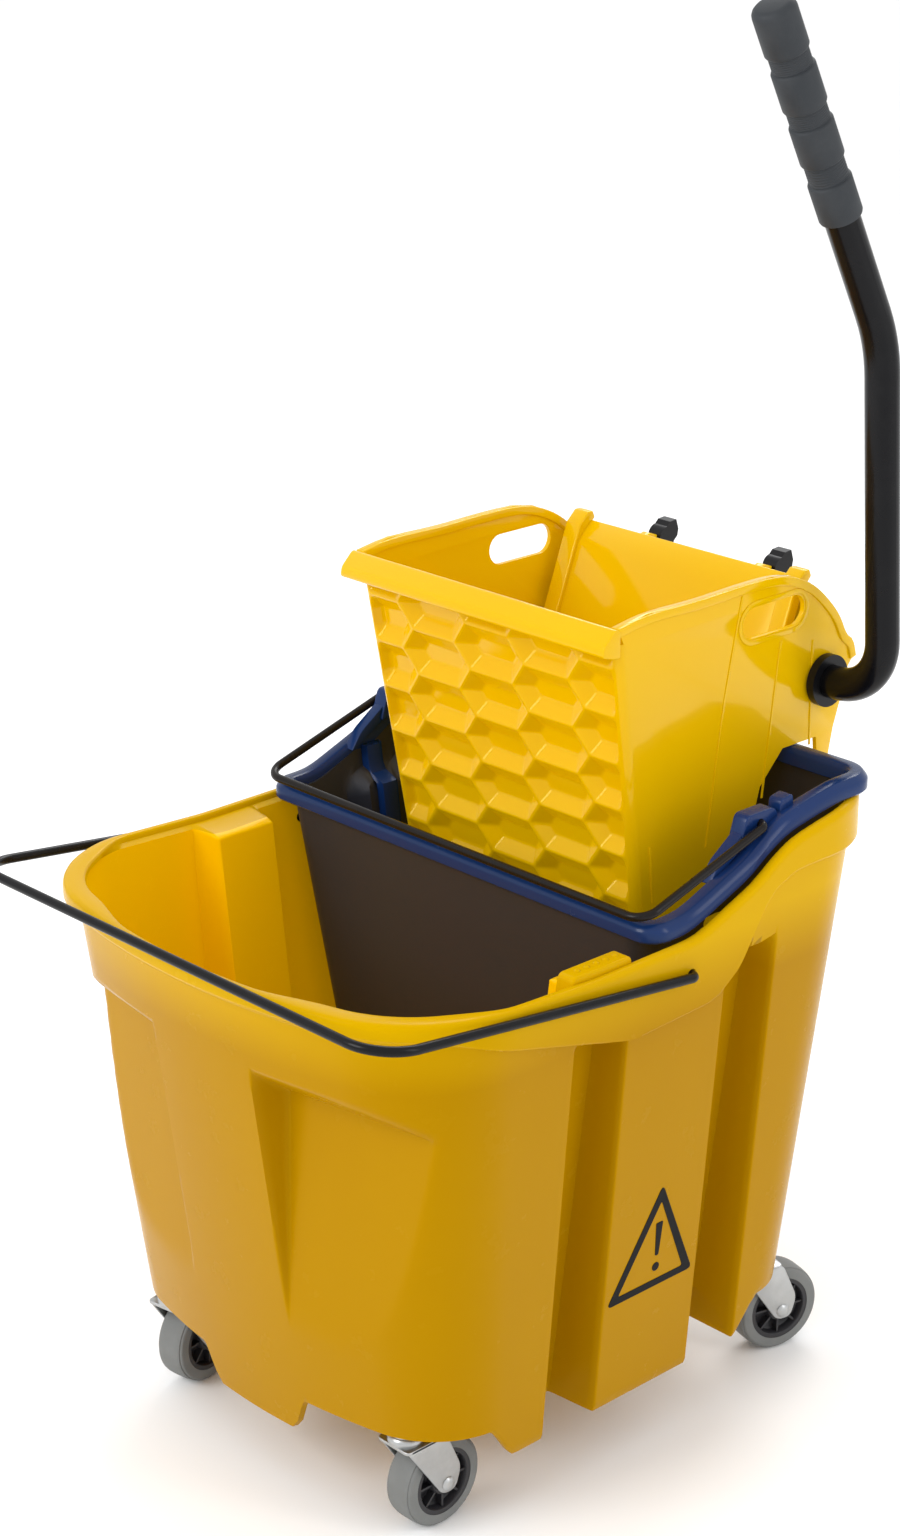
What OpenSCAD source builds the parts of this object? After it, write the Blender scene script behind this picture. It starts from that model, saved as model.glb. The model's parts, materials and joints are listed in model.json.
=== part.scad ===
// Wheeled mop bucket with a lift-out dirty-water pail and a down-press wringer.
// Millimetres. X = 0 is the plane of symmetry and +X the lever's side, -Y is the
// front where the mop goes in, +Z is up and z = 0 is the floor under the wheels.

/* [Bucket] */
// Height of the rim's top edge along the front half
rim_z = 399; // [340:1:460]
// Height of the rim's top edge at the back
rim_back_z = 449; // [400:1:500]
// Half width over the rim
rim_half_w = 199.5; // [170:0.5:230]
// Foremost point of the rim, at the middle of the bowed front
rim_front_y = -250.5; // [-290:0.5:-200]
// Rearmost point of the rim
rim_back_y = 221; // [190:0.5:260]
// Plan radius of the rim's front corners
front_corner_r = 90; // [70:1:100]
// Plan radius of the rim's back corners
back_corner_r = 62; // [50:1:80]
// Plan radius of the bowed front
front_arc_r = 485; // [400:5:900]
// How far the rim band stands out from the wall
band_out = 8; // [4:0.5:12]
// Height of the skirt's bottom edge
skirt_z = 52; // [45:1:70]
// Height of the underside of the tank's floor
floor_z = 86; // [82:1:100]
// Half width of the side wall at the skirt
skirt_half_w = 162.7; // [150:0.1:175]
// Wall thickness of the bucket
tank_wall = 4; // [3:0.5:6]
// Width of the two upright grooves in each side
groove_w = 45; // [30:1:60]
// Half width left between the grooves at the skirt
groove_half_w = 124; // [115:1:135]
// Half width left between the grooves at the rim's height
groove_top_half_w = 169; // [160:1:176]
// Middle of the front groove
groove_front_y = -55.5; // [-80:0.5:-30]
// Middle of the back groove
groove_back_y = 84.5; // [60:0.5:110]
// Half width of the keel between the two pockets in the front
pocket_x = 50; // [35:1:70]
// Place of the pockets' floor beside the keel
pocket_y = -200; // [-215:1:-190]
// Height at which the pockets run out at the bottom
pocket_foot_z = 135; // [110:1:170]
// Height of the pockets' floor at the top
pocket_top_z = 311; // [290:1:330]
// Turn of the pockets' floor, seen from above, in degrees
pocket_turn = 8.9; // [4:0.1:14]

/* [Casters] */
// Distance of each caster stem from the plane of symmetry
stem_x = 121.5; // [110:0.5:124]
// Place of the front pair of stems
stem_front_y = -165.5; // [-168:0.5:-150]
// Place of the back pair of stems
stem_back_y = 169; // [160:1:172]
// Wheel radius over the tread
wheel_r = 33; // [28:0.5:38]
// Wheel width
wheel_w = 24; // [18:1:30]
// Distance from stem to axle
trail = 24; // [20:1:32]
// Axle radius
axle_r = 4; // [3:0.5:5]
// Radius of the stem's rod in its socket
stem_r = 5.5; // [4:0.5:8]
// Running clearance of every turning fit
run_gap = 0.05; // [0.02:0.01:0.1]
// Turn of the casters at rest: front left, front right, back left, back right
turn_fl = 9; // [-180:1:180]
// Turn of the front right caster at rest
turn_fr = 0; // [-180:1:180]
// Turn of the back left caster at rest
turn_bl = -6; // [-180:1:180]
// Turn of the back right caster at rest
turn_br = -15; // [-180:1:180]

/* [Bail] */
// Radius of the bucket's bail wire
bail_r = 3.3; // [2.5:0.1:5]
// Half width of the bail over its wire's middle line
bail_half_w = 204.2; // [190:0.1:220]
// Place of the bail's pivots
bail_pivot_y = 13.8; // [-20:0.1:40]
// Height of the bail's pivots
bail_pivot_z = 374; // [340:1:390]
// Place of the bail's front run
bail_front_y = -258.2; // [-290:0.1:-240]
// Height of the bail's front run
bail_front_z = 406; // [395:1:420]
// Bend radius of the bail's corners
bail_bend_r = 30; // [15:1:50]

/* [Pail] */
// Half width of the pail's rim
pail_half_w = 190.5; // [180:0.5:196]
// Front face of the pail's rim
pail_front_y = -14; // [-40:1:20]
// Back face of the pail's rim
pail_back_y = 212; // [195:1:216]
// Plan width of the pail's rim
pail_rim_w = 15; // [8:0.5:20]
// Thickness of the pail's rim
pail_rim_t = 13; // [8:0.5:18]
// Half width of the pail's body under its rim
pail_body_half_w = 176; // [160:1:178]
// Half width of the pail's body at its bottom
pail_foot_half_w = 138; // [120:1:145]
// Height of the pail's underside
pail_foot_z = 121; // [119:1:150]
// Plan radius of the pail's corners
pail_corner_r = 38; // [34:1:48]
// Wall thickness of the pail
pail_wall = 3; // [2:0.5:5]
// Radius of the pail's bail wire
pail_bail_r = 3; // [2:0.1:4]
// Half width of the pail's bail over its wire's middle line
pail_bail_half_w = 185.2; // [170:0.1:187]
// Place of the pail bail's pivots
pail_pivot_y = 98; // [80:1:120]
// Height of the pail bail's pivots
pail_pivot_z = 450.2; // [435:0.1:460]

/* [Wringer] */
// Half width of the wringer's side walls at the reference height
wringer_half_w = 117.2; // [105:0.1:125]
// Outward lean of the side walls, in degrees
side_lean = 2.63; // [0:0.01:4]
// Forward lean of the honeycomb wall, in degrees
front_lean = 9.26; // [5:0.01:15]
// Front wall's place at the reference height
wringer_front_y = 40.6; // [30:0.1:60]
// Height of the wringer's underside
wringer_foot_z = 336; // [300:1:380]
// Height of the front rail's top
front_top_z = 589; // [560:1:610]
// Wall thickness of the wringer
wringer_wall = 4; // [3:0.5:6]
// Number of honeycomb cells in each column
comb_rows = 6; // [3:1:7]
// Number of honeycomb columns on each side of the middle one
comb_cols = 1; // [0:1:1]
// Distance between honeycomb columns
comb_pitch_x = 54; // [48:0.5:60]
// Distance between the cells of a column
comb_pitch_z = 34.4; // [30:0.1:40]
// Length of a cell's level edges
comb_flat = 37; // [25:1:40]

/* [Press] */
// Place of the lever's shaft
shaft_y = 227; // [215:1:240]
// Height of the lever's shaft
shaft_z = 506; // [490:1:530]
// Place of the press plate's hinge
hinge_y = 132; // [120:1:150]
// Height of the press plate's hinge
hinge_z = 352; // [340:1:370]
// Backward lean of the press plate at rest, in degrees
plate_lean = 20.4; // [10:0.1:30]
// Half width of the press plate
plate_half_w = 98; // [80:1:105]
// Height of the press plate along its own slope
plate_h = 224; // [180:1:250]
// Length of each cam lever from the shaft to its tip
cam_l = 66; // [50:1:80]
// Backward lean of the cam levers at rest, in degrees
cam_lean = 21.7; // [10:0.1:30]
// Distance of each cam lever from the plane of symmetry
cam_x = 54.8; // [40:0.1:80]

/* [Handle] */
// Radius of the handle's tube
tube_r = 11.7; // [9:0.1:14]
// Wall thickness of the handle's tube
tube_t = 1.8; // [1:0.1:3]
// Place of the upright part of the handle
handle_x = 174; // [160:1:190]
// Forward lean of the upright part, in degrees
upright_lean = 4.5; // [0:0.1:10]
// Forward lean of the top part, in degrees
top_lean = 28.5; // [20:0.1:40]
// Height of the bend above the shaft
bend_h = 246; // [200:1:300]
// Length of the straight top part from the bend to the end of the grip
top_l = 249; // [200:1:300]
// Bend radius of the handle's two bends
tube_bend_r = 40; // [30:1:120]
// Radius of the grip
grip_r = 14.3; // [12:0.1:18]
// Length of the grip
grip_l = 150; // [120:1:180]

/* [Hidden] */
$fn = 96;
e = 0.01;
ref_z = 435;
wall_slope = (rim_half_w - band_out - skirt_half_w) / (rim_z - skirt_z);
tank_z = floor_z + tank_wall;
top_z = 520;
socket_r = 12.5;
race_r = 12.5;
clear_r = 13.3;
socket_t = 6;
sleeve_r = 9;
stem_top_z = floor_z + 28;
plate_z = 69;
plate_t = 2.5;
race_z = plate_z + plate_t;
race_t = 5.5;
collar_z = race_z + race_t + 0.3;
fork_half_w = wheel_w / 2 + 1.2;
fork_t = 2.2;
hub_r = 24;
rib_face = 28.2;
hub_cam_r = 16.5;
bush_r = 16;
arch_r = 69;
arch_top_z = plate_z + plate_t + 1;
rear_y = bail_r - bail_front_y;
fit_gap = 0.02;
front_lean_y = 50;
back_lean_y = 32;
front_corner_taper = 28;
back_corner_taper = 8;
pilaster_z = rim_z - 7;
ear_x0 = 174;
ear_x1 = 181;
rim_corner_r = 26;
rim_inner_r = 14;
hinge_pin_r = 4;
collar_r = 11;

// ---- shared shapes ----

// Plan outline of half width w from y0 to y1. The front is an arc of radius fr, tangent
// to front corners of radius cr; the back corners have radius br.
function outline(w, y0, y1, cr, br, fr, n = 10) =
    let (cy = y0 + fr - sqrt(pow(fr - cr, 2) - pow(w - cr, 2)),
        lean = asin((w - cr) / (fr - cr)),
        right = concat(
            [for (i = [0:n - 1]) let (a = lean * i / n) [fr * sin(a), y0 + fr - fr * cos(a)]],
            [for (i = [0:n]) let (a = lean - 90 + (90 - lean) * i / n)
                [w - cr + cr * cos(a), cy + cr * sin(a)]],
            [for (i = [0:n]) let (a = 90 * i / n) [w - br + br * cos(a), y1 - br + br * sin(a)]]),
        m = len(right))
    concat(right, [for (i = [m - 1:-1:1]) [-right[i][0], right[i][1]]]);

// Plan outline with a straight front and plain corners of radius r.
function box_outline(w, y0, y1, r, n = 6) = [for (q = [0:3], i = [0:n])
    let (a = 90 * q + 90 * i / n, cx = (q == 0 || q == 3) ? w - r : r - w,
        cy = q < 2 ? y1 - r : y0 + r) [cx + r * cos(a), cy + r * sin(a)]];

// Solid between one outline at height z0 and a second at height z1.
module loft(low, z0, high, z1) {
    n = len(low);
    points = concat([for (p = low) [p[0], p[1], z0]], [for (p = high) [p[0], p[1], z1]]);
    polyhedron(points, concat(
        [[for (i = [0:n - 1]) i]],
        [[for (i = [n - 1:-1:0]) n + i]],
        [for (i = [0:n - 1]) [i, n + i, n + (i + 1) % n]],
        [for (i = [0:n - 1]) [i, n + (i + 1) % n, (i + 1) % n]]));
}

// A profile drawn in Y and Z, running from x0 to x1.
module side_extrude(x0, x1)
    translate([x0, 0, 0]) rotate([90, 0, 90]) linear_extrude(x1 - x0) children();

// Round rod between two points.
module rod(a, b, r) {
    v = b - a;
    l = norm(v);
    translate(a) rotate([0, acos(v[2] / l), atan2(v[1], v[0])]) cylinder(r = r, h = l);
}

// Blend between two heights, smooth at both ends.
function ease(a, b, t) = a + (b - a) * (1 - cos(180 * min(1, max(0, t)))) / 2;

// ---- bucket ----

rise_y0 = 14;
rise_y1 = 150;
function rim_top(y) = ease(rim_z, rim_back_z, (y - rise_y0) / (rise_y1 - rise_y0));

function wall_y(z) = (rim_z - z) / (rim_z - skirt_z);

// The bucket's outline at height z, moved in by a margin m.
function tank_ring(z, m) = outline(
    skirt_half_w + wall_slope * (z - skirt_z) - m,
    rim_front_y + band_out + m + wall_y(z) * front_lean_y,
    rim_back_y - band_out - m - wall_y(z) * back_lean_y,
    front_corner_r - m - wall_y(z) * front_corner_taper,
    back_corner_r - m - wall_y(z) * back_corner_taper, front_arc_r - m);

module tank_solid(m, z0)
    loft(tank_ring(z0, m), z0, tank_ring(top_z, m), top_z);

// Everything below the rim's top edge, lowered by d.
module under_rim(d)
    side_extrude(-260, 260) polygon(concat(
        [[-300, 0], [-300, rim_z - d]],
        [for (y = [rise_y0:8:rise_y1]) [y, rim_top(y) - d]],
        [[300, rim_back_z - d], [300, 0]]));

band_drop = [[-300, 383], [-190, 383], [-150, 372], [-77, 353], [-40, 342], [38, 347],
    [62, 364], [76, 387], [92, 408], [116, 417], [300, 420]];

module band()
    intersection() {
        loft(tank_ring(rim_z, -band_out), 300, tank_ring(rim_z, -band_out), top_z);
        side_extrude(-260, 260) polygon(concat(band_drop, [[300, top_z], [-300, top_z]]));
    }

// The wedge cut out of each side for one groove, grown by g on its three inner faces.
module groove(y, g)
    for (s = [-1, 1]) {
        low = groove_half_w - g;
        high = low + (groove_top_half_w - groove_half_w) * (top_z - skirt_z) / (rim_z - skirt_z);
        half = groove_w / 2 + g;
        intersection() {
            translate([0, y, 0]) rotate([90, 0, 0]) linear_extrude(2 * half, center = true)
                polygon([[s * low, skirt_z - e], [s * 260, skirt_z - e],
                    [s * 260, top_z], [s * high, top_z]]);
            children();
        }
    }

module below(z) translate([-300, -300, 0]) cube([600, 600, z]);

module grooves() {
    groove(groove_front_y, 0) below(344);
    groove(groove_back_y, 0) below(364);
}

// The same grooves seen from inside the tank, where they stand up to just below the rim.
module pilasters(g) {
    groove(groove_front_y, g) below(pilaster_z);
    groove(groove_back_y, g) below(pilaster_z);
}

// Wedges cut into the front on both sides of the keel, grown by g on their inner faces.
module front_pockets(g)
    for (s = [-1, 1]) translate([s * pocket_x, pocket_y, 0]) rotate([0, 0, s * pocket_turn])
        side_extrude(s > 0 ? -g : -140, s > 0 ? 140 : g) polygon([
            [-100, pocket_foot_z - g], [g - 4, pocket_foot_z - g], [g, pocket_top_z + g / 2],
            [-36, pocket_top_z + 27 + g], [-100, pocket_top_z + 27 + g]]);

module at_stems()
    for (s = [-1, 1], y = [stem_front_y, stem_back_y]) translate([s * stem_x, y, 0]) children();

module arches()
    for (s = [-1, 1], f = [-1, 1])
        translate([s * (stem_x - 12), (f < 0 ? stem_front_y : stem_back_y) - f * 4.5, 0])
            cylinder(r = arch_r, h = arch_top_z);

// Inner space of the bucket: the tank, less the insides of its grooves.
module tank_space()
    difference() {
        tank_solid(tank_wall, tank_z);
        pilasters(tank_wall);
        front_pockets(tank_wall);
        at_stems() cylinder(r = sleeve_r + tank_wall, h = stem_top_z + tank_wall);
    }

module bucket_shell()
    color([0.80, 0.58, 0.01]) difference() {
        intersection() {
            union() {
                tank_solid(0, skirt_z);
                band();
            }
            under_rim(0);
        }
        grooves();
        front_pockets(0);
        tank_space();
        difference() {
            loft(tank_ring(skirt_z - 1, tank_wall), skirt_z - 1,
                tank_ring(floor_z, tank_wall), floor_z);
            pilasters(tank_wall);
        }
        arches();
        at_stems() cylinder(r = clear_r, h = floor_z);
        at_stems() translate([0, 0, floor_z - e]) cylinder(r = sleeve_r, h = stem_top_z - floor_z);
        for (s = [-1, 1]) translate([s * (bail_half_w - 24), bail_pivot_y, bail_pivot_z])
            rotate([0, s * 90, 0]) cylinder(r = bail_r + 0.3, h = 40);
    }

// Three-cornered plate on the middle leg of each side.
module warning_signs()
    color("black") for (s = [-1, 1])
        translate([s * (skirt_half_w + wall_slope * (132 - skirt_z)), 14, 132])
            rotate([0, s * atan(wall_slope), 0]) rotate([90, 0, 90])
                translate([0, 0, s > 0 ? 0.1 : -0.7]) linear_extrude(0.6)
                    polygon([[-41, 0], [41, 0], [0, 78]]);

// ---- bails ----

// U-shaped wire: two arms of half width w, a front run, rounded corners, hooked ends.
module wire_bail(w, r, pivot, front, bend, hook) {
    d = front - pivot;
    l = norm(d);
    translate([0, pivot[0], pivot[1]]) rotate([atan2(d[1], -d[0]) * -1, 0, 0]) {
        for (s = [-1, 1]) {
            rod([s * w, -hook_bend(r), 0], [s * w, bend - l, 0], r);
            translate([s * (w - bend), bend - l, 0]) rotate([0, 0, s > 0 ? -90 : 180])
                rotate_extrude(angle = 90) translate([bend, 0]) circle(r = r);
            translate([s * (w - hook_bend(r)), -hook_bend(r), 0]) rotate([0, 0, s > 0 ? 0 : 90])
                rotate_extrude(angle = 90) translate([hook_bend(r), 0]) circle(r = r);
            rod([s * (w - hook), 0, 0], [s * (w - hook_bend(r)), 0, 0], r);
        }
        rod([bend - w, -l, 0], [w - bend, -l, 0], r);
    }
}

function hook_bend(r) = r * 1.6;

module bail()
    color("black") wire_bail(bail_half_w, bail_r, [bail_pivot_y, bail_pivot_z],
        [bail_front_y, bail_front_z], bail_bend_r, 19);

module pail_bail()
    color("black") wire_bail(pail_bail_half_w, pail_bail_r, [pail_pivot_y, pail_pivot_z],
        [pail_front_y - pail_bail_r - 0.6, rim_z + pail_rim_t + pail_bail_r + 0.5], 14, 13);

// ---- casters ----

// Puts a caster's own pieces, drawn at the origin, at stem i and turned to its rest angle.
module at_caster(right, back, turn)
    translate([(right ? 1 : -1) * stem_x, back ? stem_back_y : stem_front_y, 0])
        rotate([0, 0, turn]) children();

module socket()
    color([0.06, 0.06, 0.07]) difference() {
        union() {
            translate([0, 0, floor_z - socket_t]) cylinder(r = socket_r, h = socket_t);
            translate([0, 0, floor_z]) cylinder(r = sleeve_r, h = stem_top_z - floor_z - 1);
        }
        translate([0, 0, floor_z - socket_t - 1]) cylinder(r = stem_r, h = 30);
    }

module stem()
    color([0.75, 0.76, 0.78]) {
        translate([0, 0, collar_z]) cylinder(r = collar_r, h = floor_z - socket_t - collar_z);
        translate([0, 0, floor_z - socket_t]) cylinder(r = stem_r, h = 27);
        translate([0, 0, plate_z - 2.5]) cylinder(r = axle_r, h = collar_z - plate_z + 2.5);
        translate([0, 0, plate_z - 2.5]) cylinder(r = 7, h = 2.2);
    }

module fork()
    color([0.62, 0.63, 0.62]) difference() {
        union() {
            translate([0, 0, race_z]) cylinder(r = race_r, h = race_t);
            translate([-fork_half_w - fork_t, -12, plate_z])
                cube([2 * (fork_half_w + fork_t), 29, plate_t]);
            for (s = [-1, 1]) translate([s > 0 ? fork_half_w : -fork_half_w - fork_t, 0, 0])
                rotate([90, 0, 90]) linear_extrude(fork_t) {
                    polygon([[-12, plate_z + plate_t], [17, plate_z + plate_t],
                        [trail + 8.4, wheel_r + 3.2], [trail - 6.2, wheel_r - 6.5]]);
                    translate([trail, wheel_r]) circle(r = 9);
                }
        }
        translate([0, 0, plate_z - 1]) cylinder(r = axle_r + run_gap, h = 20);
        translate([-30, trail, wheel_r]) rotate([0, 90, 0]) cylinder(r = axle_r, h = 60);
    }

module axle()
    color([0.72, 0.72, 0.70]) translate([0, trail, wheel_r]) rotate([0, 90, 0]) {
        cylinder(r = axle_r, h = 2 * (fork_half_w + fork_t), center = true);
        for (s = [-1, 1]) translate([0, 0, s * (fork_half_w + fork_t + 1.5)])
            cylinder(r = 6.5, h = 3, center = true);
    }

module wheel_ring(r0, r1, w)
    translate([0, trail, wheel_r]) rotate([0, 90, 0]) rotate_extrude()
        polygon([[r0, -w / 2], [r1 - 2, -w / 2], [r1, -w / 2 + 2], [r1, w / 2 - 2],
            [r1 - 2, w / 2], [r0, w / 2]]);

module hub()
    color([0.10, 0.10, 0.10]) translate([0, trail, wheel_r]) rotate([0, 90, 0])
        rotate_extrude() polygon([[axle_r + run_gap, -wheel_w / 2], [9, -wheel_w / 2],
            [11, -4], [19, -4], [20, -wheel_w / 2 + 1], [hub_r, -wheel_w / 2 + 1],
            [hub_r, wheel_w / 2 - 1], [20, wheel_w / 2 - 1], [19, 4], [11, 4],
            [9, wheel_w / 2], [axle_r + run_gap, wheel_w / 2]]);

module tread()
    color([0.44, 0.45, 0.44]) wheel_ring(hub_r, wheel_r, wheel_w - 1);

// ---- pail ----

// The pail's outline at height z, moved in by a margin m.
function pail_ring(z, m) =
    let (t = (z - pail_foot_z) / (rim_z - pail_foot_z))
    box_outline(pail_foot_half_w + (pail_body_half_w - pail_foot_half_w) * t - m,
        20 + (pail_front_y + 6 - 20) * t + m, 172 + (pail_back_y - 10 - 172) * t - m,
        pail_corner_r - m);

module pail_solid(z0, m)
    loft(pail_ring(z0, m), z0, pail_ring(top_z, m), top_z);

module pail_notches(g)
    groove(groove_back_y, tank_wall + 3 + g) below(pilaster_z + 3 + g);

module pail_body()
    color([0.23, 0.20, 0.19]) difference() {
        intersection() {
            pail_solid(pail_foot_z, 0);
            under_rim(-pail_rim_t - 0.3);
        }
        pail_notches(0);
        difference() {
            pail_solid(pail_foot_z + pail_wall, pail_wall);
            pail_notches(pail_wall);
        }
    }

// Ring lying on the bucket's rim and following its rise.
module pail_rim()
    color([0.12, 0.25, 0.48]) difference() {
        intersection() {
            linear_extrude(top_z) difference() {
                polygon(box_outline(pail_half_w, pail_front_y, pail_back_y, rim_corner_r));
                polygon(box_outline(pail_half_w - pail_rim_w, pail_front_y + pail_rim_w,
                    pail_back_y - pail_rim_w, rim_inner_r));
            }
            under_rim(-pail_rim_t - 0.3);
        }
        under_rim(-0.3);
        pail_solid(pail_foot_z, 0);
    }

// Block on the rim that holds one hooked end of the pail's bail.
module pail_ear(s)
    color([0.12, 0.25, 0.48]) difference() {
        side_extrude(s > 0 ? ear_x0 : -ear_x1, s > 0 ? ear_x1 : -ear_x0) polygon(concat(
            [for (y = [78:8:118]) [y, rim_top(y) + pail_rim_t + 0.3]],
            [[111, pail_pivot_z + 8], [86, pail_pivot_z + 8]]));
        translate([0, pail_pivot_y, pail_pivot_z]) rotate([0, 90, 0])
            cylinder(r = pail_bail_r + 0.3, h = 500, center = true);
    }

// ---- wringer ----

function front_y(z) = wringer_front_y - tan(front_lean) * (z - ref_z);

// Outline of one side wall, drawn in Y and Z.
module side_profile()
    polygon([[front_y(wringer_foot_z), wringer_foot_z], [front_y(574), 574],
        [front_y(574) - 9, 578], [front_y(574) - 8, 588], [45, 592.5], [92, 591],
        [130, 592.5], [165, 592.5], [185, 589], [206, 580], [225, 566], [240, 550.5],
        [249, 534], [257, 529], [rear_y, 517], [255, 509], [250, 487], [244, 466],
        [241, 446], [229, 446], [226, rim_back_z + pail_rim_t + 1],
        [pail_back_y + 2, rim_back_z + pail_rim_t + 0.5],
        [pail_back_y - pail_rim_w - 6, rim_back_z + pail_rim_t + 0.5], [170, 440],
        [146, wringer_foot_z]]);

module hand_hole()
    translate([174, 564]) {
        square([34, 26], center = true);
        for (s = [-1, 1]) translate([s * 17, 0]) circle(r = 13);
    }

module side_wall(s)
    translate([s * wringer_half_w, 0, ref_z]) rotate([0, s * side_lean, 0])
        translate([0, 0, -ref_z]) difference() {
            side_extrude(s > 0 ? -wringer_wall : 0, s > 0 ? 0 : wringer_wall) side_profile();
            side_extrude(-20, 20) hand_hole();
        }

comb_rib = 4;
comb_depth = 4;
comb_top_gap = 21;

// Flat-topped cell of the honeycomb.
module cell() {
    h = comb_pitch_z / 2 - comb_rib / 2;
    tip = comb_pitch_x - comb_flat / 2 - comb_rib;
    polygon([[-tip, 0], [-comb_flat / 2, h], [comb_flat / 2, h],
        [tip, 0], [comb_flat / 2, -h], [-comb_flat / 2, -h]]);
}

// Honeycomb wall, drawn upright at the origin and then leaned forward.
module comb_wall() {
    h = (front_top_z - wringer_foot_z) / cos(front_lean);
    w0 = wringer_half_w + tan(side_lean) * (wringer_foot_z - ref_z) - 1;
    w1 = wringer_half_w + tan(side_lean) * (front_top_z - ref_z) - 1;
    translate([0, front_y(wringer_foot_z), wringer_foot_z]) rotate([90 + front_lean, 0, 0])
        translate([0, 0, -wringer_wall - comb_depth]) difference() {
            linear_extrude(wringer_wall + comb_depth)
                polygon([[-w0, 0], [w0, 0], [w1, h], [-w1, h]]);
            for (row = [0:comb_rows - 1], col = [-comb_cols:comb_cols])
                translate([col * comb_pitch_x, h - comb_top_gap - comb_pitch_z * (
                    row + (col % 2 == 0 ? 1 : 0.5)), comb_depth])
                    linear_extrude(10) cell();
        }
}

module floor_grate()
    difference() {
        translate([-100, front_y(wringer_foot_z), wringer_foot_z])
            cube([200, 146 - front_y(wringer_foot_z), wringer_wall]);
        for (x = [-84:24:84]) translate([x - 5, 74, wringer_foot_z - 1]) cube([10, 44, 8]);
    }

// Blocks that carry the hinge pin, and the bridge behind the press plate.
module hinge_blocks()
    for (s = [-1, 1]) translate([s * 106, hinge_y, hinge_z]) rotate([0, 90, 0])
        difference() {
            union() {
                cylinder(r = 8, h = 9, center = true);
                translate([0, -8, -4.5]) cube([16, 16, 9]);
            }
            cylinder(r = hinge_pin_r, h = 20, center = true);
        }

module back_bridge()
    difference() {
        side_extrude(-116, 116) polygon([[205, 466], [216, 466], [216, 471], [209, 471],
            [209, 482], [205, 482]]);
        screw_places(1.5, 20);
    }

module wringer_body()
    color([0.95, 0.76, 0.0]) difference() {
        union() {
            side_wall(1);
            side_wall(-1);
            comb_wall();
            floor_grate();
            hinge_blocks();
            back_bridge();
        }
        translate([0, shaft_y, shaft_z]) rotate([0, 90, 0])
            cylinder(r = bush_r, h = 300, center = true);
    }

// Curved cover between the side walls, behind the shaft.
module rear_cover()
    color([0.95, 0.76, 0.0]) difference() {
        side_extrude(-114, 114) polygon([[227, 563.9], [240, 550.5], [249, 534], [257, 529],
            [rear_y, 517], [255, 509], [250, 487], [243, 472], [209.3, 472],
            [209.3, 475.5], [240, 475.5], [246.5, 488], [251.5, 510], [257, 517],
            [254, 526], [246.5, 531], [237, 548.5], [224.5, 561.3]]);
        screw_places(1.6, 30);
        for (s = [-1, 1]) translate([s * cam_x - 8, 195, 526]) cube([16, 80, 80]);
    }

module screw_places(r, h)
    for (x = [-84, -28, 28, 84]) translate([x, 212.6, 460]) cylinder(r = r, h = h);

module cover_screws()
    color([0.70, 0.70, 0.72]) for (x = [-84, -28, 28, 84]) translate([x, 212.6, 0]) {
        translate([0, 0, 466.5]) cylinder(r = 1.5, h = 9.4);
        translate([0, 0, 475.7]) cylinder(r = 3, h = 1.8);
    }

module bush(s) {
    x = wringer_half_w + tan(side_lean) * (shaft_z - ref_z);
    color([0.05, 0.05, 0.06]) translate([s * x, shaft_y, shaft_z]) rotate([0, s * 90, 0])
        difference() {
            union() {
                translate([0, 0, -8]) cylinder(r = bush_r, h = 12);
                translate([0, 0, 2]) cylinder(r = bush_r + 2.5, h = 6);
            }
            translate([0, 0, -20]) cylinder(r = tube_r + run_gap, h = 60);
        }
}

// Coil of round wire round the shaft, with one leg down to the bridge.
module return_spring(s)
    color([0.45, 0.46, 0.48]) translate([s * 84, shaft_y, shaft_z]) rotate([0, 90, 0])
        for (i = [-3:3]) translate([0, 0, i * 3.2]) rotate_extrude()
            translate([tube_r + 3, 0]) circle(r = 1.4, $fn = 16);

module cam_lever(s) {
    tip = [0, shaft_y + cam_l * sin(cam_lean), shaft_z + cam_l * cos(cam_lean)];
    color([0.05, 0.05, 0.06]) difference() {
        side_extrude(s * cam_x - 6, s * cam_x + 6) {
            translate([shaft_y, shaft_z]) circle(r = hub_cam_r);
            translate([tip[1], tip[2]]) circle(r = 8);
            translate([shaft_y, shaft_z]) rotate(-cam_lean)
                translate([-6, 0]) square([14, cam_l]);
            translate([tip[1], tip[2]]) rotate(-cam_lean)
                polygon([[-5, 4], [6, -5], [10, 3], [9, 8], [4, 14], [-2, 11]]);
        }
        translate([s * cam_x - 20, shaft_y, shaft_z]) rotate([0, 90, 0])
            cylinder(r = tube_r + fit_gap, h = 40);
    }
}

// ---- handle ----

up = [0, -sin(upright_lean), cos(upright_lean)];
top_dir = [0, -sin(top_lean), cos(top_lean)];
elbow = [handle_x, shaft_y, shaft_z];
bend = elbow + up * (bend_h / cos(upright_lean));
handle_end = bend + top_dir * top_l;

module tube_section()
    difference() {
        circle(r = tube_r);
        circle(r = tube_r - tube_t);
    }

// Straight stretch of tube, drawn along +Z from the origin.
module tube_run(l) linear_extrude(l) tube_section();

// Short sleeve swaged inside the tube across the end of a bend.
module tube_sleeve()
    translate([0, 0, -3]) linear_extrude(6) difference() {
        circle(r = tube_r - tube_t + 0.8);
        circle(r = tube_r - tube_t - 0.4);
    }

// Bent stretch of tube, turning by an angle about the origin's Z axis.
module tube_turn(r, turn) rotate_extrude(angle = turn) translate([r, 0]) tube_section();

top_bend_r = 110;
top_turn = top_lean - upright_lean;
top_cut = top_bend_r * tan(top_turn / 2);
upright_l = bend_h / cos(upright_lean) - top_cut - tube_bend_r;

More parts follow.
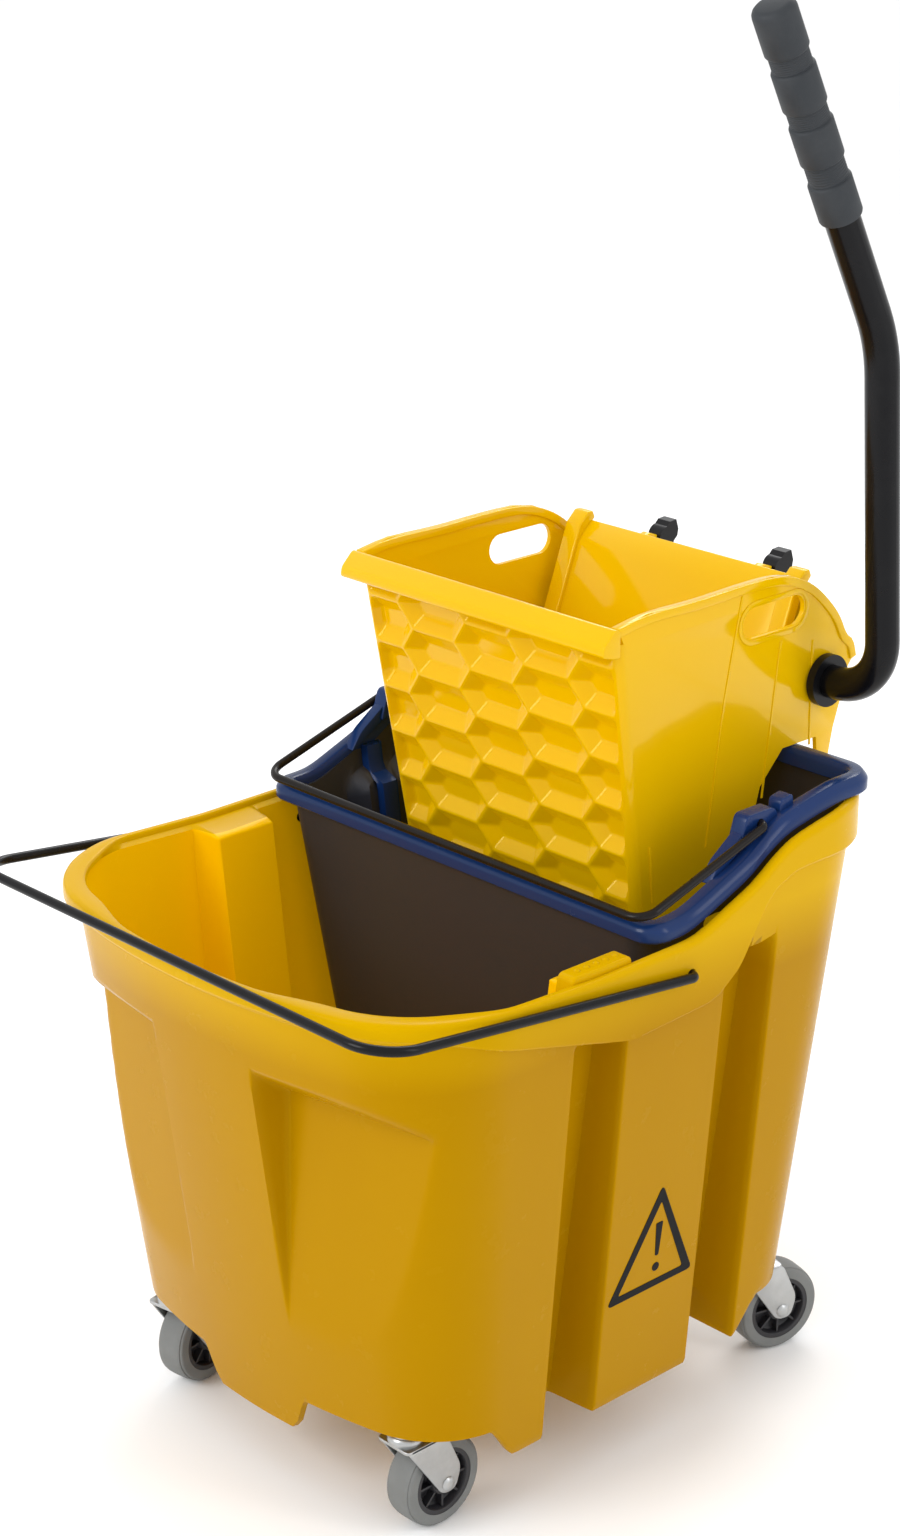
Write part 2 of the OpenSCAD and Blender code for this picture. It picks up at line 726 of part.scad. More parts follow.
// The tube runs along the shaft, round the elbow, up, and forward at the top bend.
module handle_tube()
    color([0.03, 0.03, 0.035]) {
        translate([-128, shaft_y, shaft_z]) rotate([0, 90, 0])
            tube_run(128 + handle_x - tube_bend_r);
        translate([handle_x - tube_bend_r, shaft_y, shaft_z]) rotate([0, 90, 0]) tube_sleeve();
        translate(elbow) rotate([upright_lean, 0, 0]) {
            translate([-tube_bend_r, 0, tube_bend_r]) rotate([90, 0, 0]) rotate([0, 0, -90])
                tube_turn(tube_bend_r, 90);
            translate([0, 0, tube_bend_r]) tube_run(upright_l);
            translate([0, 0, tube_bend_r]) tube_sleeve();
            translate([0, 0, tube_bend_r + upright_l]) tube_sleeve();
            translate([0, -top_bend_r, tube_bend_r + upright_l]) rotate([90, 0, 90])
                tube_turn(top_bend_r, top_turn);
            translate([0, 0, tube_bend_r + upright_l + top_cut]) rotate([top_turn, 0, 0])
                translate([0, 0, top_cut]) {
                    tube_run(top_l - top_cut);
                    tube_sleeve();
                }
        }
    }

module grip()
    color([0.30, 0.32, 0.34]) translate(handle_end - top_dir * grip_l) rotate([top_lean, 0, 0])
        rotate_extrude() polygon([[tube_r + fit_gap, 0], [grip_r - 1, 0], [grip_r, 1],
            [grip_r, 33], [grip_r - 1, 34], [grip_r - 1, 43], [grip_r, 44],
            [grip_r, 70], [grip_r - 1, 71], [grip_r - 1, 81], [grip_r, 82],
            [grip_r, 109], [grip_r - 1, 110], [grip_r - 1, 121], [grip_r, 122],
            [grip_r, grip_l - 1], [grip_r - 3, grip_l + 3], [0, grip_l + 3],
            [0, grip_l + 0.2], [tube_r + fit_gap, grip_l + 0.2]]);

// ---- press plate ----

// Drawn with the hinge at the origin, the plate upright and its back towards +Y.
module at_hinge()
    translate([0, hinge_y, hinge_z]) rotate([-plate_lean, 0, 0]) children();

module press_plate()
    color([0.95, 0.76, 0.0]) at_hinge() {
        difference() {
            union() {
                side_extrude(-plate_half_w, plate_half_w) polygon([[-3, 0], [-3, plate_h],
                    [5, plate_h + 18], [9, plate_h + 16], [1, plate_h - 1], [1, 0]]);
                rotate([0, 90, 0]) cylinder(r = 7, h = 2 * plate_half_w, center = true);
            }
            rotate([0, 90, 0]) cylinder(r = hinge_pin_r + run_gap, h = 300, center = true);
        }
        for (s = [-1, 1]) {
            side_extrude(s * cam_x - 4, s * cam_x + 4)
                polygon([[0, 150], [14, 176], [14, 188], [rib_face, 197],
                    [rib_face, plate_h + 28], [20, plate_h + 28], [5, plate_h + 8], [0, plate_h]]);
            for (x = [20, 86]) side_extrude(s * x - 1.5, s * x + 1.5)
                polygon([[0, 14], [9, 24], [9, plate_h - 16], [0, plate_h - 2]]);
        }
    }

module hinge_pin()
    color([0.72, 0.72, 0.74]) translate([0, hinge_y, hinge_z]) rotate([0, 90, 0])
        cylinder(r = hinge_pin_r, h = 218, center = true);

bucket_shell();
warning_signs();
bail();
at_caster(false, false, 0) socket();  // socket_fl
at_caster(true, false, 0) socket();  // socket_fr
at_caster(false, true, 0) socket();  // socket_bl
at_caster(true, true, 0) socket();  // socket_br
at_caster(false, false, 0) stem();  // stem_fl
at_caster(true, false, 0) stem();  // stem_fr
at_caster(false, true, 0) stem();  // stem_bl
at_caster(true, true, 0) stem();  // stem_br
at_caster(false, false, turn_fl) fork();  // fork_fl
at_caster(true, false, turn_fr) fork();  // fork_fr
at_caster(false, true, turn_bl) fork();  // fork_bl
at_caster(true, true, turn_br) fork();  // fork_br
at_caster(false, false, turn_fl) axle();  // axle_fl
at_caster(true, false, turn_fr) axle();  // axle_fr
at_caster(false, true, turn_bl) axle();  // axle_bl
at_caster(true, true, turn_br) axle();  // axle_br
at_caster(false, false, turn_fl) hub();  // hub_fl
at_caster(true, false, turn_fr) hub();  // hub_fr
at_caster(false, true, turn_bl) hub();  // hub_bl
at_caster(true, true, turn_br) hub();  // hub_br
at_caster(false, false, turn_fl) tread();  // tread_fl
at_caster(true, false, turn_fr) tread();  // tread_fr
at_caster(false, true, turn_bl) tread();  // tread_bl
at_caster(true, true, turn_br) tread();  // tread_br
pail_body();
pail_rim();
pail_ear(1);  // pail_ear_r
pail_ear(-1);  // pail_ear_l
pail_bail();
wringer_body();
rear_cover();
cover_screws();
bush(1);  // bush_r
bush(-1);  // bush_l
return_spring(1);  // return_spring_r
return_spring(-1);  // return_spring_l
handle_tube();
grip();
cam_lever(1);  // cam_lever_r
cam_lever(-1);  // cam_lever_l
press_plate();
hinge_pin();
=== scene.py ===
"""Looks of a wheeled mop bucket with its lift-out pail and down-press wringer.

Run as a script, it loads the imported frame, builds every piece that the frame only
outlines, gives each surface its finish, and sets the stage.
"""

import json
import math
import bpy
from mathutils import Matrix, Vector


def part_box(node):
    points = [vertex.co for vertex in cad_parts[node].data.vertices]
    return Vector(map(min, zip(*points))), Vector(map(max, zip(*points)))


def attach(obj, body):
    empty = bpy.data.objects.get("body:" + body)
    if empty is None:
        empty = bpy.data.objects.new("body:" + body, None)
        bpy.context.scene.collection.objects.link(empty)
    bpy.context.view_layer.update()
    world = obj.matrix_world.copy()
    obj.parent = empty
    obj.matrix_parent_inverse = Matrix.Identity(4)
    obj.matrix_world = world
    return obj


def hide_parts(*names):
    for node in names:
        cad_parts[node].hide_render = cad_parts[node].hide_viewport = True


bl_info = {
    "name": "Mop bucket with wringer",
    "version": (1, 0, 0),
    "blender": (4, 5, 0),
    "location": "3D View > Sidebar > Bucket",
    "description": "Builds the bucket, pail, wringer, lever and casters on their frame",
    "category": "Object",
}

import bmesh
import bpy
from mathutils import Matrix, Vector

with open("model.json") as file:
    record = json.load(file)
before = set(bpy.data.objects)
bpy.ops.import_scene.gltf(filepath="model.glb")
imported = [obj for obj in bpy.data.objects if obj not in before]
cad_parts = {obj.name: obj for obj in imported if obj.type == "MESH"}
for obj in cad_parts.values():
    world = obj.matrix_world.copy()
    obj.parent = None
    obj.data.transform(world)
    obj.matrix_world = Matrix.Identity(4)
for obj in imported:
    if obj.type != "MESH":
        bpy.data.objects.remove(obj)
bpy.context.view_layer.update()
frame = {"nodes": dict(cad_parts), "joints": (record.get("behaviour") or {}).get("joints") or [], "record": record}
MM = 0.001
NODES = frame["nodes"]
JOINTS = {joint["name"]: joint for joint in frame["joints"]}
CORNERS = ("fl", "fr", "bl", "br")


def low(node):
    """Lowest corner of a frame node, in millimetres."""
    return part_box(node)[0] / MM


def high(node):
    """Highest corner of a frame node, in millimetres."""
    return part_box(node)[1] / MM


def pivot(joint):
    """Place of a hinge, in millimetres."""
    return Vector(JOINTS[joint]["pos_m"]) / MM


# ---------------------------------------------------------------- settings


def length(name, text, default, lowest=0.0):
    return bpy.props.FloatProperty(name=name, description=text, default=default, min=lowest)


def colour(name, text, default):
    return bpy.props.FloatVectorProperty(
        name=name, description=text, default=default, size=3, subtype="COLOR", min=0, max=1)


class BucketSizes(bpy.types.PropertyGroup):
    """Sizes of the bucket's shell, in millimetres."""

    rim_z: length("Front rim height", "Height of the rim along the front half", 399.0)
    rise_start: length("Rise start", "Where the rim starts to climb", 14.0)
    rise_end: length("Rise end", "Where the rim has reached its full height", 150.0)
    rim_dip: length("Rim dip", "How far the rim dips beside the bail's pivots", 3.5)
    wall: length("Wall", "Thickness of the wall", 4.0)
    band: length("Band", "How far the rim band stands out", 8.0)
    skirt_half: length("Skirt half width", "Half width at the skirt's edge", 162.7)
    front_lean: length("Front lean", "How far the front leans out, foot to rim", 50.0)
    back_lean: length("Back lean", "How far the back leans out, foot to rim", 32.0)
    front_arc: length("Front arc", "Plan radius of the bowed front", 485.0)
    front_corner: length("Front corner", "Plan radius of the rim's front corners", 90.0)
    back_corner: length("Back corner", "Plan radius of the rim's back corners", 62.0)
    floor_z: length("Floor", "Height of the tank's floor", 90.0)
    groove_w: length("Groove width", "Width of the upright grooves", 45.0)
    groove_front: bpy.props.FloatProperty(
        name="Front groove", description="Middle of the front groove", default=-55.5)
    groove_back: bpy.props.FloatProperty(
        name="Back groove", description="Middle of the back groove", default=84.5)
    groove_half: length("Groove floor", "Half width between the grooves at the skirt", 124.0)
    groove_top_half: length("Groove top", "Half width between the grooves at the rim", 169.0)
    keel_half: length("Keel", "Half width of the keel between the front pockets", 50.0)
    pocket_y: bpy.props.FloatProperty(
        name="Pocket floor", description="Place of the pockets' floor beside the keel",
        default=-200.0)
    pocket_foot: length("Pocket foot", "Height where the pockets run out", 135.0)
    pocket_top: length("Pocket top", "Height of the pockets' floor at the top", 311.0)
    pocket_turn: length("Pocket turn", "Turn of the pockets' floor, in degrees", 8.9)


class WringerSizes(bpy.types.PropertyGroup):
    """Sizes of the wringer's shell, in millimetres and degrees."""

    half: length("Half width", "Half width at the reference height", 117.2)
    side_lean: length("Side lean", "Outward lean of the side walls", 2.63)
    front_lean: length("Front lean", "Forward lean of the front wall", 9.26)
    front_y: length("Front place", "Place of the front wall at the reference height", 40.6)
    ref_z: length("Reference height", "Height at which widths and places are given", 435.0)
    wall: length("Wall", "Thickness of the wall", 3.6)
    corner: length("Corner", "Plan radius of the front corners", 9.0)
    cell_w: length("Cell pitch across", "Distance between columns of cells", 54.0)
    cell_h: length("Cell pitch up", "Distance between cells in a column", 34.4)
    cell_flat: length("Cell flat", "Half length of a cell's level edges", 20.5)
    cell_deep: length("Cell depth", "Depth of a cell", 8.5)
    plate_lean: length("Plate lean", "Backward lean of the press plate at rest", 20.4)


class Finishes(bpy.types.PropertyGroup):
    """Base colours of the finishes."""

    bucket: colour("Bucket", "Moulded plastic of the bucket", (0.39, 0.202, 0.0))
    # Painted highlight: a lighter copy of the bucket's plastic, blended in near the rim so the rim looks lit
    # brighter.
    rim: colour("Rim", "The same plastic at the bucket's rim, where it is brighter", (0.56, 0.325, 0.0))
    # Painted light: a brighter copy of the bucket's plastic for the inside, standing in for light that comes
    # through the walls.
    inside: colour("Inside", "The same plastic inside, where light comes through", (0.74, 0.43, 0.0))
    wringer: colour("Wringer", "Moulded plastic of the wringer", (0.64, 0.385, 0.0))
    pail: colour("Pail", "Dark plastic of the pail's body", (0.024, 0.027, 0.032))
    blue: colour("Pail rim", "Blue plastic of the pail's rim", (0.006, 0.028, 0.105))
    tread: colour("Tread", "Grey rubber of the wheels", (0.16, 0.165, 0.16))
    grip: colour("Grip", "Dark rubber of the lever's grip", (0.021, 0.025, 0.030))


# ---------------------------------------------------------------- small maths


def clamp(x, lowest=0.0, highest=1.0):
    return max(lowest, min(highest, x))


def smooth(x):
    """0 to 1, level at both ends."""
    x = clamp(x)
    return x * x * (3 - 2 * x)


def mix(a, b, t):
    return a + (b - a) * t


def soft_max(a, b, k):
    """The larger of two numbers, rounded where they meet."""
    h = clamp(0.5 + (a - b) / (2 * k))
    return mix(b, a, h) + k * h * (1 - h)


def spread(a, b, count, ends=True):
    """count numbers from a towards b, reaching it only when ends is true."""
    last = count - 1 if ends else count
    return [mix(a, b, i / last) for i in range(count)]


def along(points, x):
    """Height of a broken line of (x, y) points at x."""
    if x <= points[0][0]:
        return points[0][1]
    for (x0, y0), (x1, y1) in zip(points, points[1:]):
        if x <= x1:
            return mix(y0, y1, (x - x0) / (x1 - x0))
    return points[-1][1]


def soft_along(points, x, width):
    """Like along(), averaged over a width, so its corners are round."""
    steps = 9
    return sum(along(points, x + width * (i / (steps - 1) - 0.5)) for i in range(steps)) / steps


# ---------------------------------------------------------------- mesh tools


def mesh_piece(name, points, faces, angle=32):
    """A mesh object from points in millimetres, smooth up to an angle in degrees."""
    data = bpy.data.meshes.new(name)
    data.from_pydata([Vector(p) * MM for p in points], [], faces)
    data.validate()
    piece = bpy.data.objects.new(name, data)
    bpy.context.scene.collection.objects.link(piece)
    soften(piece, angle)
    return piece


def soften(piece, angle=32):
    """Shades a piece smooth, with sharp edges past an angle in degrees."""
    piece.data.shade_smooth()
    piece.data.set_sharp_from_angle(angle=math.radians(angle))


def tidy_mesh(piece, outward=True, merge=0.00001):
    """Merges doubled points and turns the faces of a closed piece outwards."""
    form = bmesh.new()
    form.from_mesh(piece.data)
    bmesh.ops.remove_doubles(form, verts=form.verts, dist=merge)
    bmesh.ops.dissolve_degenerate(form, edges=form.edges, dist=merge)
    if outward:
        bmesh.ops.recalc_face_normals(form, faces=form.faces)
    form.to_mesh(piece.data)
    form.free()


def apply_modifiers(piece):
    """Bakes a piece's modifiers into a plain mesh."""
    graph = bpy.context.evaluated_depsgraph_get()
    data = bpy.data.meshes.new_from_object(piece.evaluated_get(graph))
    piece.modifiers.clear()
    piece.data = data
    return piece


def ring_mesh(name, rings, closed=True, start_cap=False, end_cap=False, angle=32,
              second_from=None):
    """Skin over rings of equally many points, with flat caps where asked.

    From the ring second_from on, the faces belong to the piece's second material.
    """
    count = len(rings[0])
    points = [p for ring in rings for p in ring]
    faces = []
    for r in range(len(rings) - 1):
        for c in range(count if closed else count - 1):
            d = (c + 1) % count
            faces.append((r * count + c, r * count + d, (r + 1) * count + d, (r + 1) * count + c))
    if start_cap:
        faces.append(tuple(range(count - 1, -1, -1)))
    if end_cap:
        faces.append(tuple((len(rings) - 1) * count + c for c in range(count)))
    piece = mesh_piece(name, points, faces, angle)
    if second_from is not None:
        for i, face in enumerate(piece.data.polygons):
            ring = i // count
            face.material_index = int(second_from <= ring and i != (len(rings) - 1) * count)
    tidy_mesh(piece)
    soften(piece, angle)
    return piece


def lathe(name, profile, place, axis=(0, 0, 1), turns=64, angle=32):
    """Turns a closed (radius, height) profile about an axis through a place."""
    turn = Vector((0, 0, 1)).rotation_difference(Vector(axis)).to_matrix()
    rings = []
    for i in range(turns):
        a = 2 * math.pi * i / turns
        rings.append([Vector(place) + turn @ Vector((r * math.cos(a), r * math.sin(a), h))
                      for r, h in profile])
    rings.append(rings[0])
    return ring_mesh(name, rings, closed=True, angle=angle)


def extruded(name, outline, x0, x1, bevel=0.0, segments=3, angle=32):
    """Solid from a closed (y, z) outline between two x planes, its edges rounded."""
    count = len(outline)
    points = [(x, y, z) for x in (x0, x1) for y, z in outline]
    faces = [tuple(range(count)), tuple(range(2 * count - 1, count - 1, -1))]
    for i in range(count):
        j = (i + 1) % count
        faces.append((i, count + i, count + j, j))
    piece = mesh_piece(name, points, faces, angle)
    tidy_mesh(piece)
    if bevel:
        round_edges(piece, bevel, segments)
    soften(piece, angle)
    return piece


def round_edges(piece, width, segments=3, angle=30):
    """Rounds a piece's sharp edges by a width in millimetres."""
    rounding = piece.modifiers.new("Rounded edges", "BEVEL")
    rounding.width = width * MM
    rounding.segments = segments
    rounding.limit_method = "ANGLE"
    rounding.angle_limit = math.radians(angle)
    rounding.harden_normals = False
    apply_modifiers(piece)
    soften(piece, 40)
    return piece


def joined(name, pieces):
    """One object from several."""
    form = bmesh.new()
    for piece in pieces:
        form.from_mesh(piece.data)
        bpy.data.objects.remove(piece)
    data = bpy.data.meshes.new(name)
    form.to_mesh(data)
    form.free()
    whole = bpy.data.objects.new(name, data)
    bpy.context.scene.collection.objects.link(whole)
    return whole


def carve(piece, cutters):
    """Takes the cutters' solids out of a piece."""
    for cutter in cutters:
        cut = piece.modifiers.new("Cut", "BOOLEAN")
        cut.operation = "DIFFERENCE"
        cut.solver = "EXACT"
        cut.object = cutter
        apply_modifiers(piece)
    for cutter in cutters:
        bpy.data.objects.remove(cutter)
    return piece


def arc(centre, radius, start, end, count):
    """(y, z) points of an arc between two angles in degrees."""
    return [(centre[0] + radius * math.cos(math.radians(a)),
             centre[1] + radius * math.sin(math.radians(a))) for a in spread(start, end, count)]


def rounded(corners, radius, steps=5):
    """A closed outline whose corners are replaced with arcs of about a radius."""
    outline = []
    count = len(corners)
    for i in range(count):
        here = Vector(corners[i])
        back = Vector(corners[i - 1]) - here
        ahead = Vector(corners[(i + 1) % count]) - here
        reach = min(radius, back.length * 0.45, ahead.length * 0.45)
        a = here + back.normalized() * reach
        b = here + ahead.normalized() * reach
        for t in spread(0, 1, steps):
            outline.append(tuple(a * (1 - t) ** 2 + here * 2 * t * (1 - t) + b * t * t))
    return outline


# ---------------------------------------------------------------- shader tools


class Value:
    """A socket of a node tree that takes part in Python arithmetic."""

    def __init__(self, owner, socket):
        self.owner = owner
        self.socket = socket

    def _math(self, operation, *inputs):
        return self.owner.node("ShaderNodeMath", {"operation": operation},
                               dict(enumerate(inputs)))[0]

    def __add__(self, other):
        return self._math("ADD", self, other)

    def __sub__(self, other):
        return self._math("SUBTRACT", self, other)

    def __rsub__(self, other):
        return self._math("SUBTRACT", other, self)

    def __mul__(self, other):
        return self._math("MULTIPLY", self, other)

    def __truediv__(self, other):
        return self._math("DIVIDE", self, other)

    def __rtruediv__(self, other):
        return self._math("DIVIDE", other, self)

    def __pow__(self, other):
        return self._math("POWER", self, other)

    def __gt__(self, other):
        return self._math("GREATER_THAN", self, other)

    def __lt__(self, other):
        return self._math("LESS_THAN", self, other)

    __radd__ = __add__
    __rmul__ = __mul__

    def size(self):
        return self._math("ABSOLUTE", self)

    def sine(self):
        return self._math("SINE", self)

    def cosine(self):
        return self._math("COSINE", self)

    def sign(self):
        return self._math("SIGN", self)

    def at_least(self, other):
        return self._math("MAXIMUM", self, other)

    def at_most(self, other):
        return self._math("MINIMUM", self, other)

    def folded(self, span):
        """Distance from the nearest even multiple of a span."""
        return self._math("PINGPONG", self, span)

    def clipped(self):
        """The value kept between 0 and 1."""
        return self.at_least(0.0).at_most(1.0)

    def eased(self):
        """The value kept between 0 and 1, level at both ends."""
        t = self.clipped()
        return t * t * (3.0 - 2.0 * t)


class Tree:
    """A node tree under construction."""

    def __init__(self, tree):
        self.tree = tree

    def node(self, kind, settings, values):
        """Adds a node, sets it up, fills or links its sockets, and returns its outputs."""
        node = self.tree.nodes.new(kind)
        for key, value in settings.items():
            if key == "stops":
                self._stops(node.color_ramp, value)
            else:
                setattr(node, key, value)
        for key, value in values.items():
            self.put(node.inputs[key], value)
        return [Value(self, out) for out in node.outputs]

    @staticmethod
    def _stops(ramp, stops):
        while len(ramp.elements) < len(stops):
            ramp.elements.new(0.5)
        for element, (place, tint) in zip(ramp.elements, stops):
            element.position = place
            element.color = (*tint, 1)

    def put(self, socket, value):
        if isinstance(value, Value):
            self.tree.links.new(value.socket, socket)
        else:
            socket.default_value = value


class Finish(Tree):
    """A material under construction."""

    def __init__(self, name, base, roughness=0.5, metallic=0.0, **constants):
        self.material = bpy.data.materials.new(name)
        self.material.use_nodes = True
        super().__init__(self.material.node_tree)
        self.shader = self.tree.nodes["Principled BSDF"]
        self.shader.inputs["Base Color"].default_value = (*base, 1)
        self.shader.inputs["Roughness"].default_value = roughness
        self.shader.inputs["Metallic"].default_value = metallic
        for key, value in constants.items():
            self.shader.inputs[key.replace("_", " ")].default_value = value
        self.base = base
        coords = self.tree.nodes.new("ShaderNodeTexCoord")
        self.place = Value(self, coords.outputs["Object"])

    def noise(self, scale, detail=3.0, roughness=0.5, stretch=None):
        """Noise in object space, scale in features per metre."""
        place = self.place
        if stretch:
            place = self.node("ShaderNodeMapping", {}, {"Vector": place, "Scale": stretch})[0]
        values = {"Vector": place, "Scale": scale, "Detail": detail, "Roughness": roughness}
        return self.node("ShaderNodeTexNoise", {}, values)[0]

    def ramp(self, value, *stops):
        return self.node("ShaderNodeValToRGB", {"stops": stops}, {0: value})[0]

    def blend(self, factor, a, b):
        """Mix of two colours."""
        a = (*a, 1) if isinstance(a, tuple) and len(a) == 3 else a
        b = (*b, 1) if isinstance(b, tuple) and len(b) == 3 else b
        return self.node("ShaderNodeMix", {"data_type": "RGBA"}, {0: factor, 6: a, 7: b})[2]

    def parts(self):
        """The x, y and z of a point, in metres."""
        return self.node("ShaderNodeSeparateXYZ", {}, {0: self.place})

    def set(self, socket, value):
        self.put(self.shader.inputs[socket], value)
        return self

    def bump(self, height, strength=0.2, distance=0.0005):
        values = {"Height": height, "Strength": strength, "Distance": distance}
        return self.set("Normal", self.node("ShaderNodeBump", {}, values)[0])


def shade(base, factor):
    return tuple(clamp(c * factor) for c in base)


# Painted highlight near the bucket's rim: it starts at this height in metres and reaches full strength 1/20 m
# higher.
PAINTED_HIGHLIGHT_Z = 0.345
PAINTED_HIGHLIGHT_RISE = 20.0


def moulded(name, base, gloss=0.3, warm=0.9, texture=0.03, glow=0.0, shine=0.4, light=0.0,
            tint=(1.0, 1.0, 1.0), painted_rim_highlight=None):
    """Moulded plastic: slight flow marks, fine pebble, and scuffs that dull the gloss.

    light is a painted glow: an emission in the base colour, no lamp, that stands in for light through the wall.
    The colour given last is a painted highlight, blended in above a fixed height so the rim looks lit brighter.
    """
    finish = Finish(name, base, gloss, Specular_IOR_Level=shine)
    if glow:
        finish.shader.inputs["Specular Tint"].default_value = (*tint, 1)
        finish.shader.inputs["Subsurface Weight"].default_value = glow
        finish.shader.inputs["Subsurface Radius"].default_value = (1.0, 0.55, 0.08)
        finish.shader.inputs["Subsurface Scale"].default_value = 0.006
    # Painted glow: an emission in the base colour, no lamp, that stands in for light coming through the wall.
    if light:
        finish.shader.inputs["Emission Color"].default_value = (*base, 1)
        finish.shader.inputs["Emission Strength"].default_value = light
    flow = finish.noise(6.0, 3.0, 0.5, (1, 1, 0.35))
    fine = finish.noise(900.0, 2.0)
    scuff = finish.noise(38.0, 6.0, 0.62)
    deep = (base[0] * warm, base[1] * warm * 0.94, base[2])
    body = finish.blend((flow * 1.6 - 0.35).clipped(), deep, base)
    if painted_rim_highlight:
        # Painted highlight: above a fixed height the base colour turns to the lighter rim colour, as if the rim
        # were lit brighter.
        height = ((finish.parts()[2] - PAINTED_HIGHLIGHT_Z) * PAINTED_HIGHLIGHT_RISE).clipped()
        body = finish.blend(height, body, painted_rim_highlight)
    finish.set("Base Color", body)
    worn = ((scuff - 0.56) * 5).clipped()
    finish.set("Roughness", worn * 0.10 + (fine * 0.05 + (gloss - 0.03)))
    finish.bump(fine * texture + flow * 0.05, 0.25, 0.0004)
    return finish.material


def zinc(name, base, roughness, streak):
    """Plated steel with a drawn grain, and dull and darker patches at random."""
    finish = Finish(name, base, roughness, 1.0)
    grain = finish.noise(240.0, 3.0, 0.6, streak)
    cloud = finish.noise(60.0, 4.0, 0.6)
    finish.set("Base Color", finish.blend((cloud * 1.5 - 0.3).clipped(), shade(base, 0.72), base))
    finish.set("Roughness", grain * 0.16 + (cloud * 0.14 + (roughness - 0.1)))
    finish.bump(grain, 0.12, 0.0002)
    return finish.material


def coated(name, base, gloss):
    """Black powder-coated or dipped steel, faintly pebbled, with rubbed patches."""
    finish = Finish(name, base, gloss, Specular_IOR_Level=0.14, Coat_Weight=0.04,
                    Coat_Roughness=0.1)
    pebble = finish.noise(520.0, 2.0)
    rub = finish.noise(30.0, 5.0, 0.6)
    finish.set("Base Color", finish.blend(((rub - 0.52) * 3).clipped(), base,
                                          tuple(c + 0.004 for c in base)))
    finish.set("Roughness", rub * 0.12 + (gloss - 0.05))
    finish.bump(pebble, 0.10, 0.0002)
    return finish.material


def rubber(name, base, dust):
    """Soft rubber: matt, finely grained, with paler dust in places."""
    finish = Finish(name, base, 0.62, Specular_IOR_Level=0.35)
    grain = finish.noise(1100.0, 2.0)
    cloud = finish.noise(45.0, 5.0, 0.6)
    pale = tuple(mix(c, 0.30, dust) for c in base)
    finish.set("Base Color", finish.blend(((cloud - 0.42) * 2.4).clipped(), base, pale))
    finish.set("Roughness", cloud * 0.16 + 0.52)
    finish.bump(grain, 0.30, 0.0003)
    return finish.material


def finishes():
    """Every material, by the record's slot it belongs to."""
    if "made" in FINISH_STORE:
        return FINISH_STORE
    c = bpy.context.scene.bucket_finishes
    steel = (0.62, 0.62, 0.60)
    amber = (1.0, 0.76, 0.08)
    lemon = (1.0, 0.88, 0.34)
    # Painted glow on the yellow plastics: the number after the shine is an emission strength in their own colour.
    FINISH_STORE.update({
        # The bucket plastic also takes the painted rim highlight as its last argument.
        "bucket_yellow": moulded("bucket plastic", tuple(c.bucket), 0.24, 0.90, 0.02, 0.10, 0.09,
                                 0.10, amber, tuple(c.rim)),
        # The inside is painted brighter than the outside and glows more, in place of light coming through the
        # walls.
        "bucket_inside": moulded("bucket lining plastic", tuple(c.inside), 0.24, 0.90, 0.02,
                                 0.10, 0.13, 0.22, amber),
        "wringer_yellow": moulded("wringer plastic", tuple(c.wringer), 0.10, 0.94, 0.01, 0.15, 0.45,
                                  0.22, lemon),
        "cover_yellow": moulded("cover plastic", tuple(c.wringer), 0.12, 0.94, 0.01, 0.15, 0.40,
                                0.22, lemon),
        "plate_yellow": moulded("press plate plastic", tuple(c.wringer), 0.10, 0.94, 0.01, 0.15, 0.50,
                                0.22, lemon),
        "pail_grey": moulded("pail plastic", tuple(c.pail), 0.42, 0.85, 0.06),
        "pail_blue": moulded("pail rim plastic", tuple(c.blue), 0.22, 0.88, 0.03, shine=0.24),
        "ear_blue": moulded("pail ear plastic", tuple(c.blue), 0.24, 0.88, 0.03, shine=0.24),
        "socket_black": moulded("caster socket plastic", (0.022, 0.022, 0.024), 0.42, 0.9),
        "hub_black": moulded("wheel hub plastic", (0.020, 0.020, 0.021), 0.38, 0.9),
        "bush_black": moulded("shaft bush plastic", (0.006, 0.006, 0.007), 0.32, 0.9, shine=0.2),
        "cam_black": moulded("cam lever plastic", (0.007, 0.007, 0.008), 0.34, 0.9, shine=0.2),
        "sign_black": moulded("printed mark", (0.005, 0.005, 0.005), 0.45, 0.9, shine=0.1),
        "wire_black": coated("bail wire coat", (0.006, 0.006, 0.007), 0.24),
        "pail_wire_black": coated("pail wire coat", (0.009, 0.007, 0.006), 0.26),
        "tube_black": coated("lever tube coat", (0.004, 0.004, 0.005), 0.20),
        "grip_grey": rubber("grip rubber", tuple(c.grip), 0.05),
        "tread_grey": rubber("tread rubber", tuple(c.tread), 0.25),
        "fork_zinc": zinc("stamped zinc", (0.52, 0.53, 0.53), 0.30, (1, 1, 0.15)),
        "stem_chrome": zinc("bright plating", (0.80, 0.80, 0.82), 0.16, (1, 1, 0.3)),
        "axle_steel": zinc("rivet steel", steel, 0.26, (0.3, 1, 1)),
        "screw_steel": zinc("screw steel", steel, 0.30, (1, 1, 1)),
        "spring_steel": zinc("spring wire", (0.42, 0.42, 0.43), 0.34, (1, 1, 1)),
        "pin_steel": zinc("hinge pin steel", steel, 0.24, (0.2, 1, 1)),
        "made": True,
    })
    return FINISH_STORE


FINISH_STORE = {}


def place_piece(piece, body, slot, *replaced):
    """Gives a finished piece the material of its slot, puts it under its body, and hides the frame nodes that it
    stands for.
    """
    piece.data.materials.clear()
    piece.data.materials.append(finishes()[slot])
    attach(piece, body)
    if replaced:
        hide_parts(*replaced)
    return piece


# ---------------------------------------------------------------- geometry trees


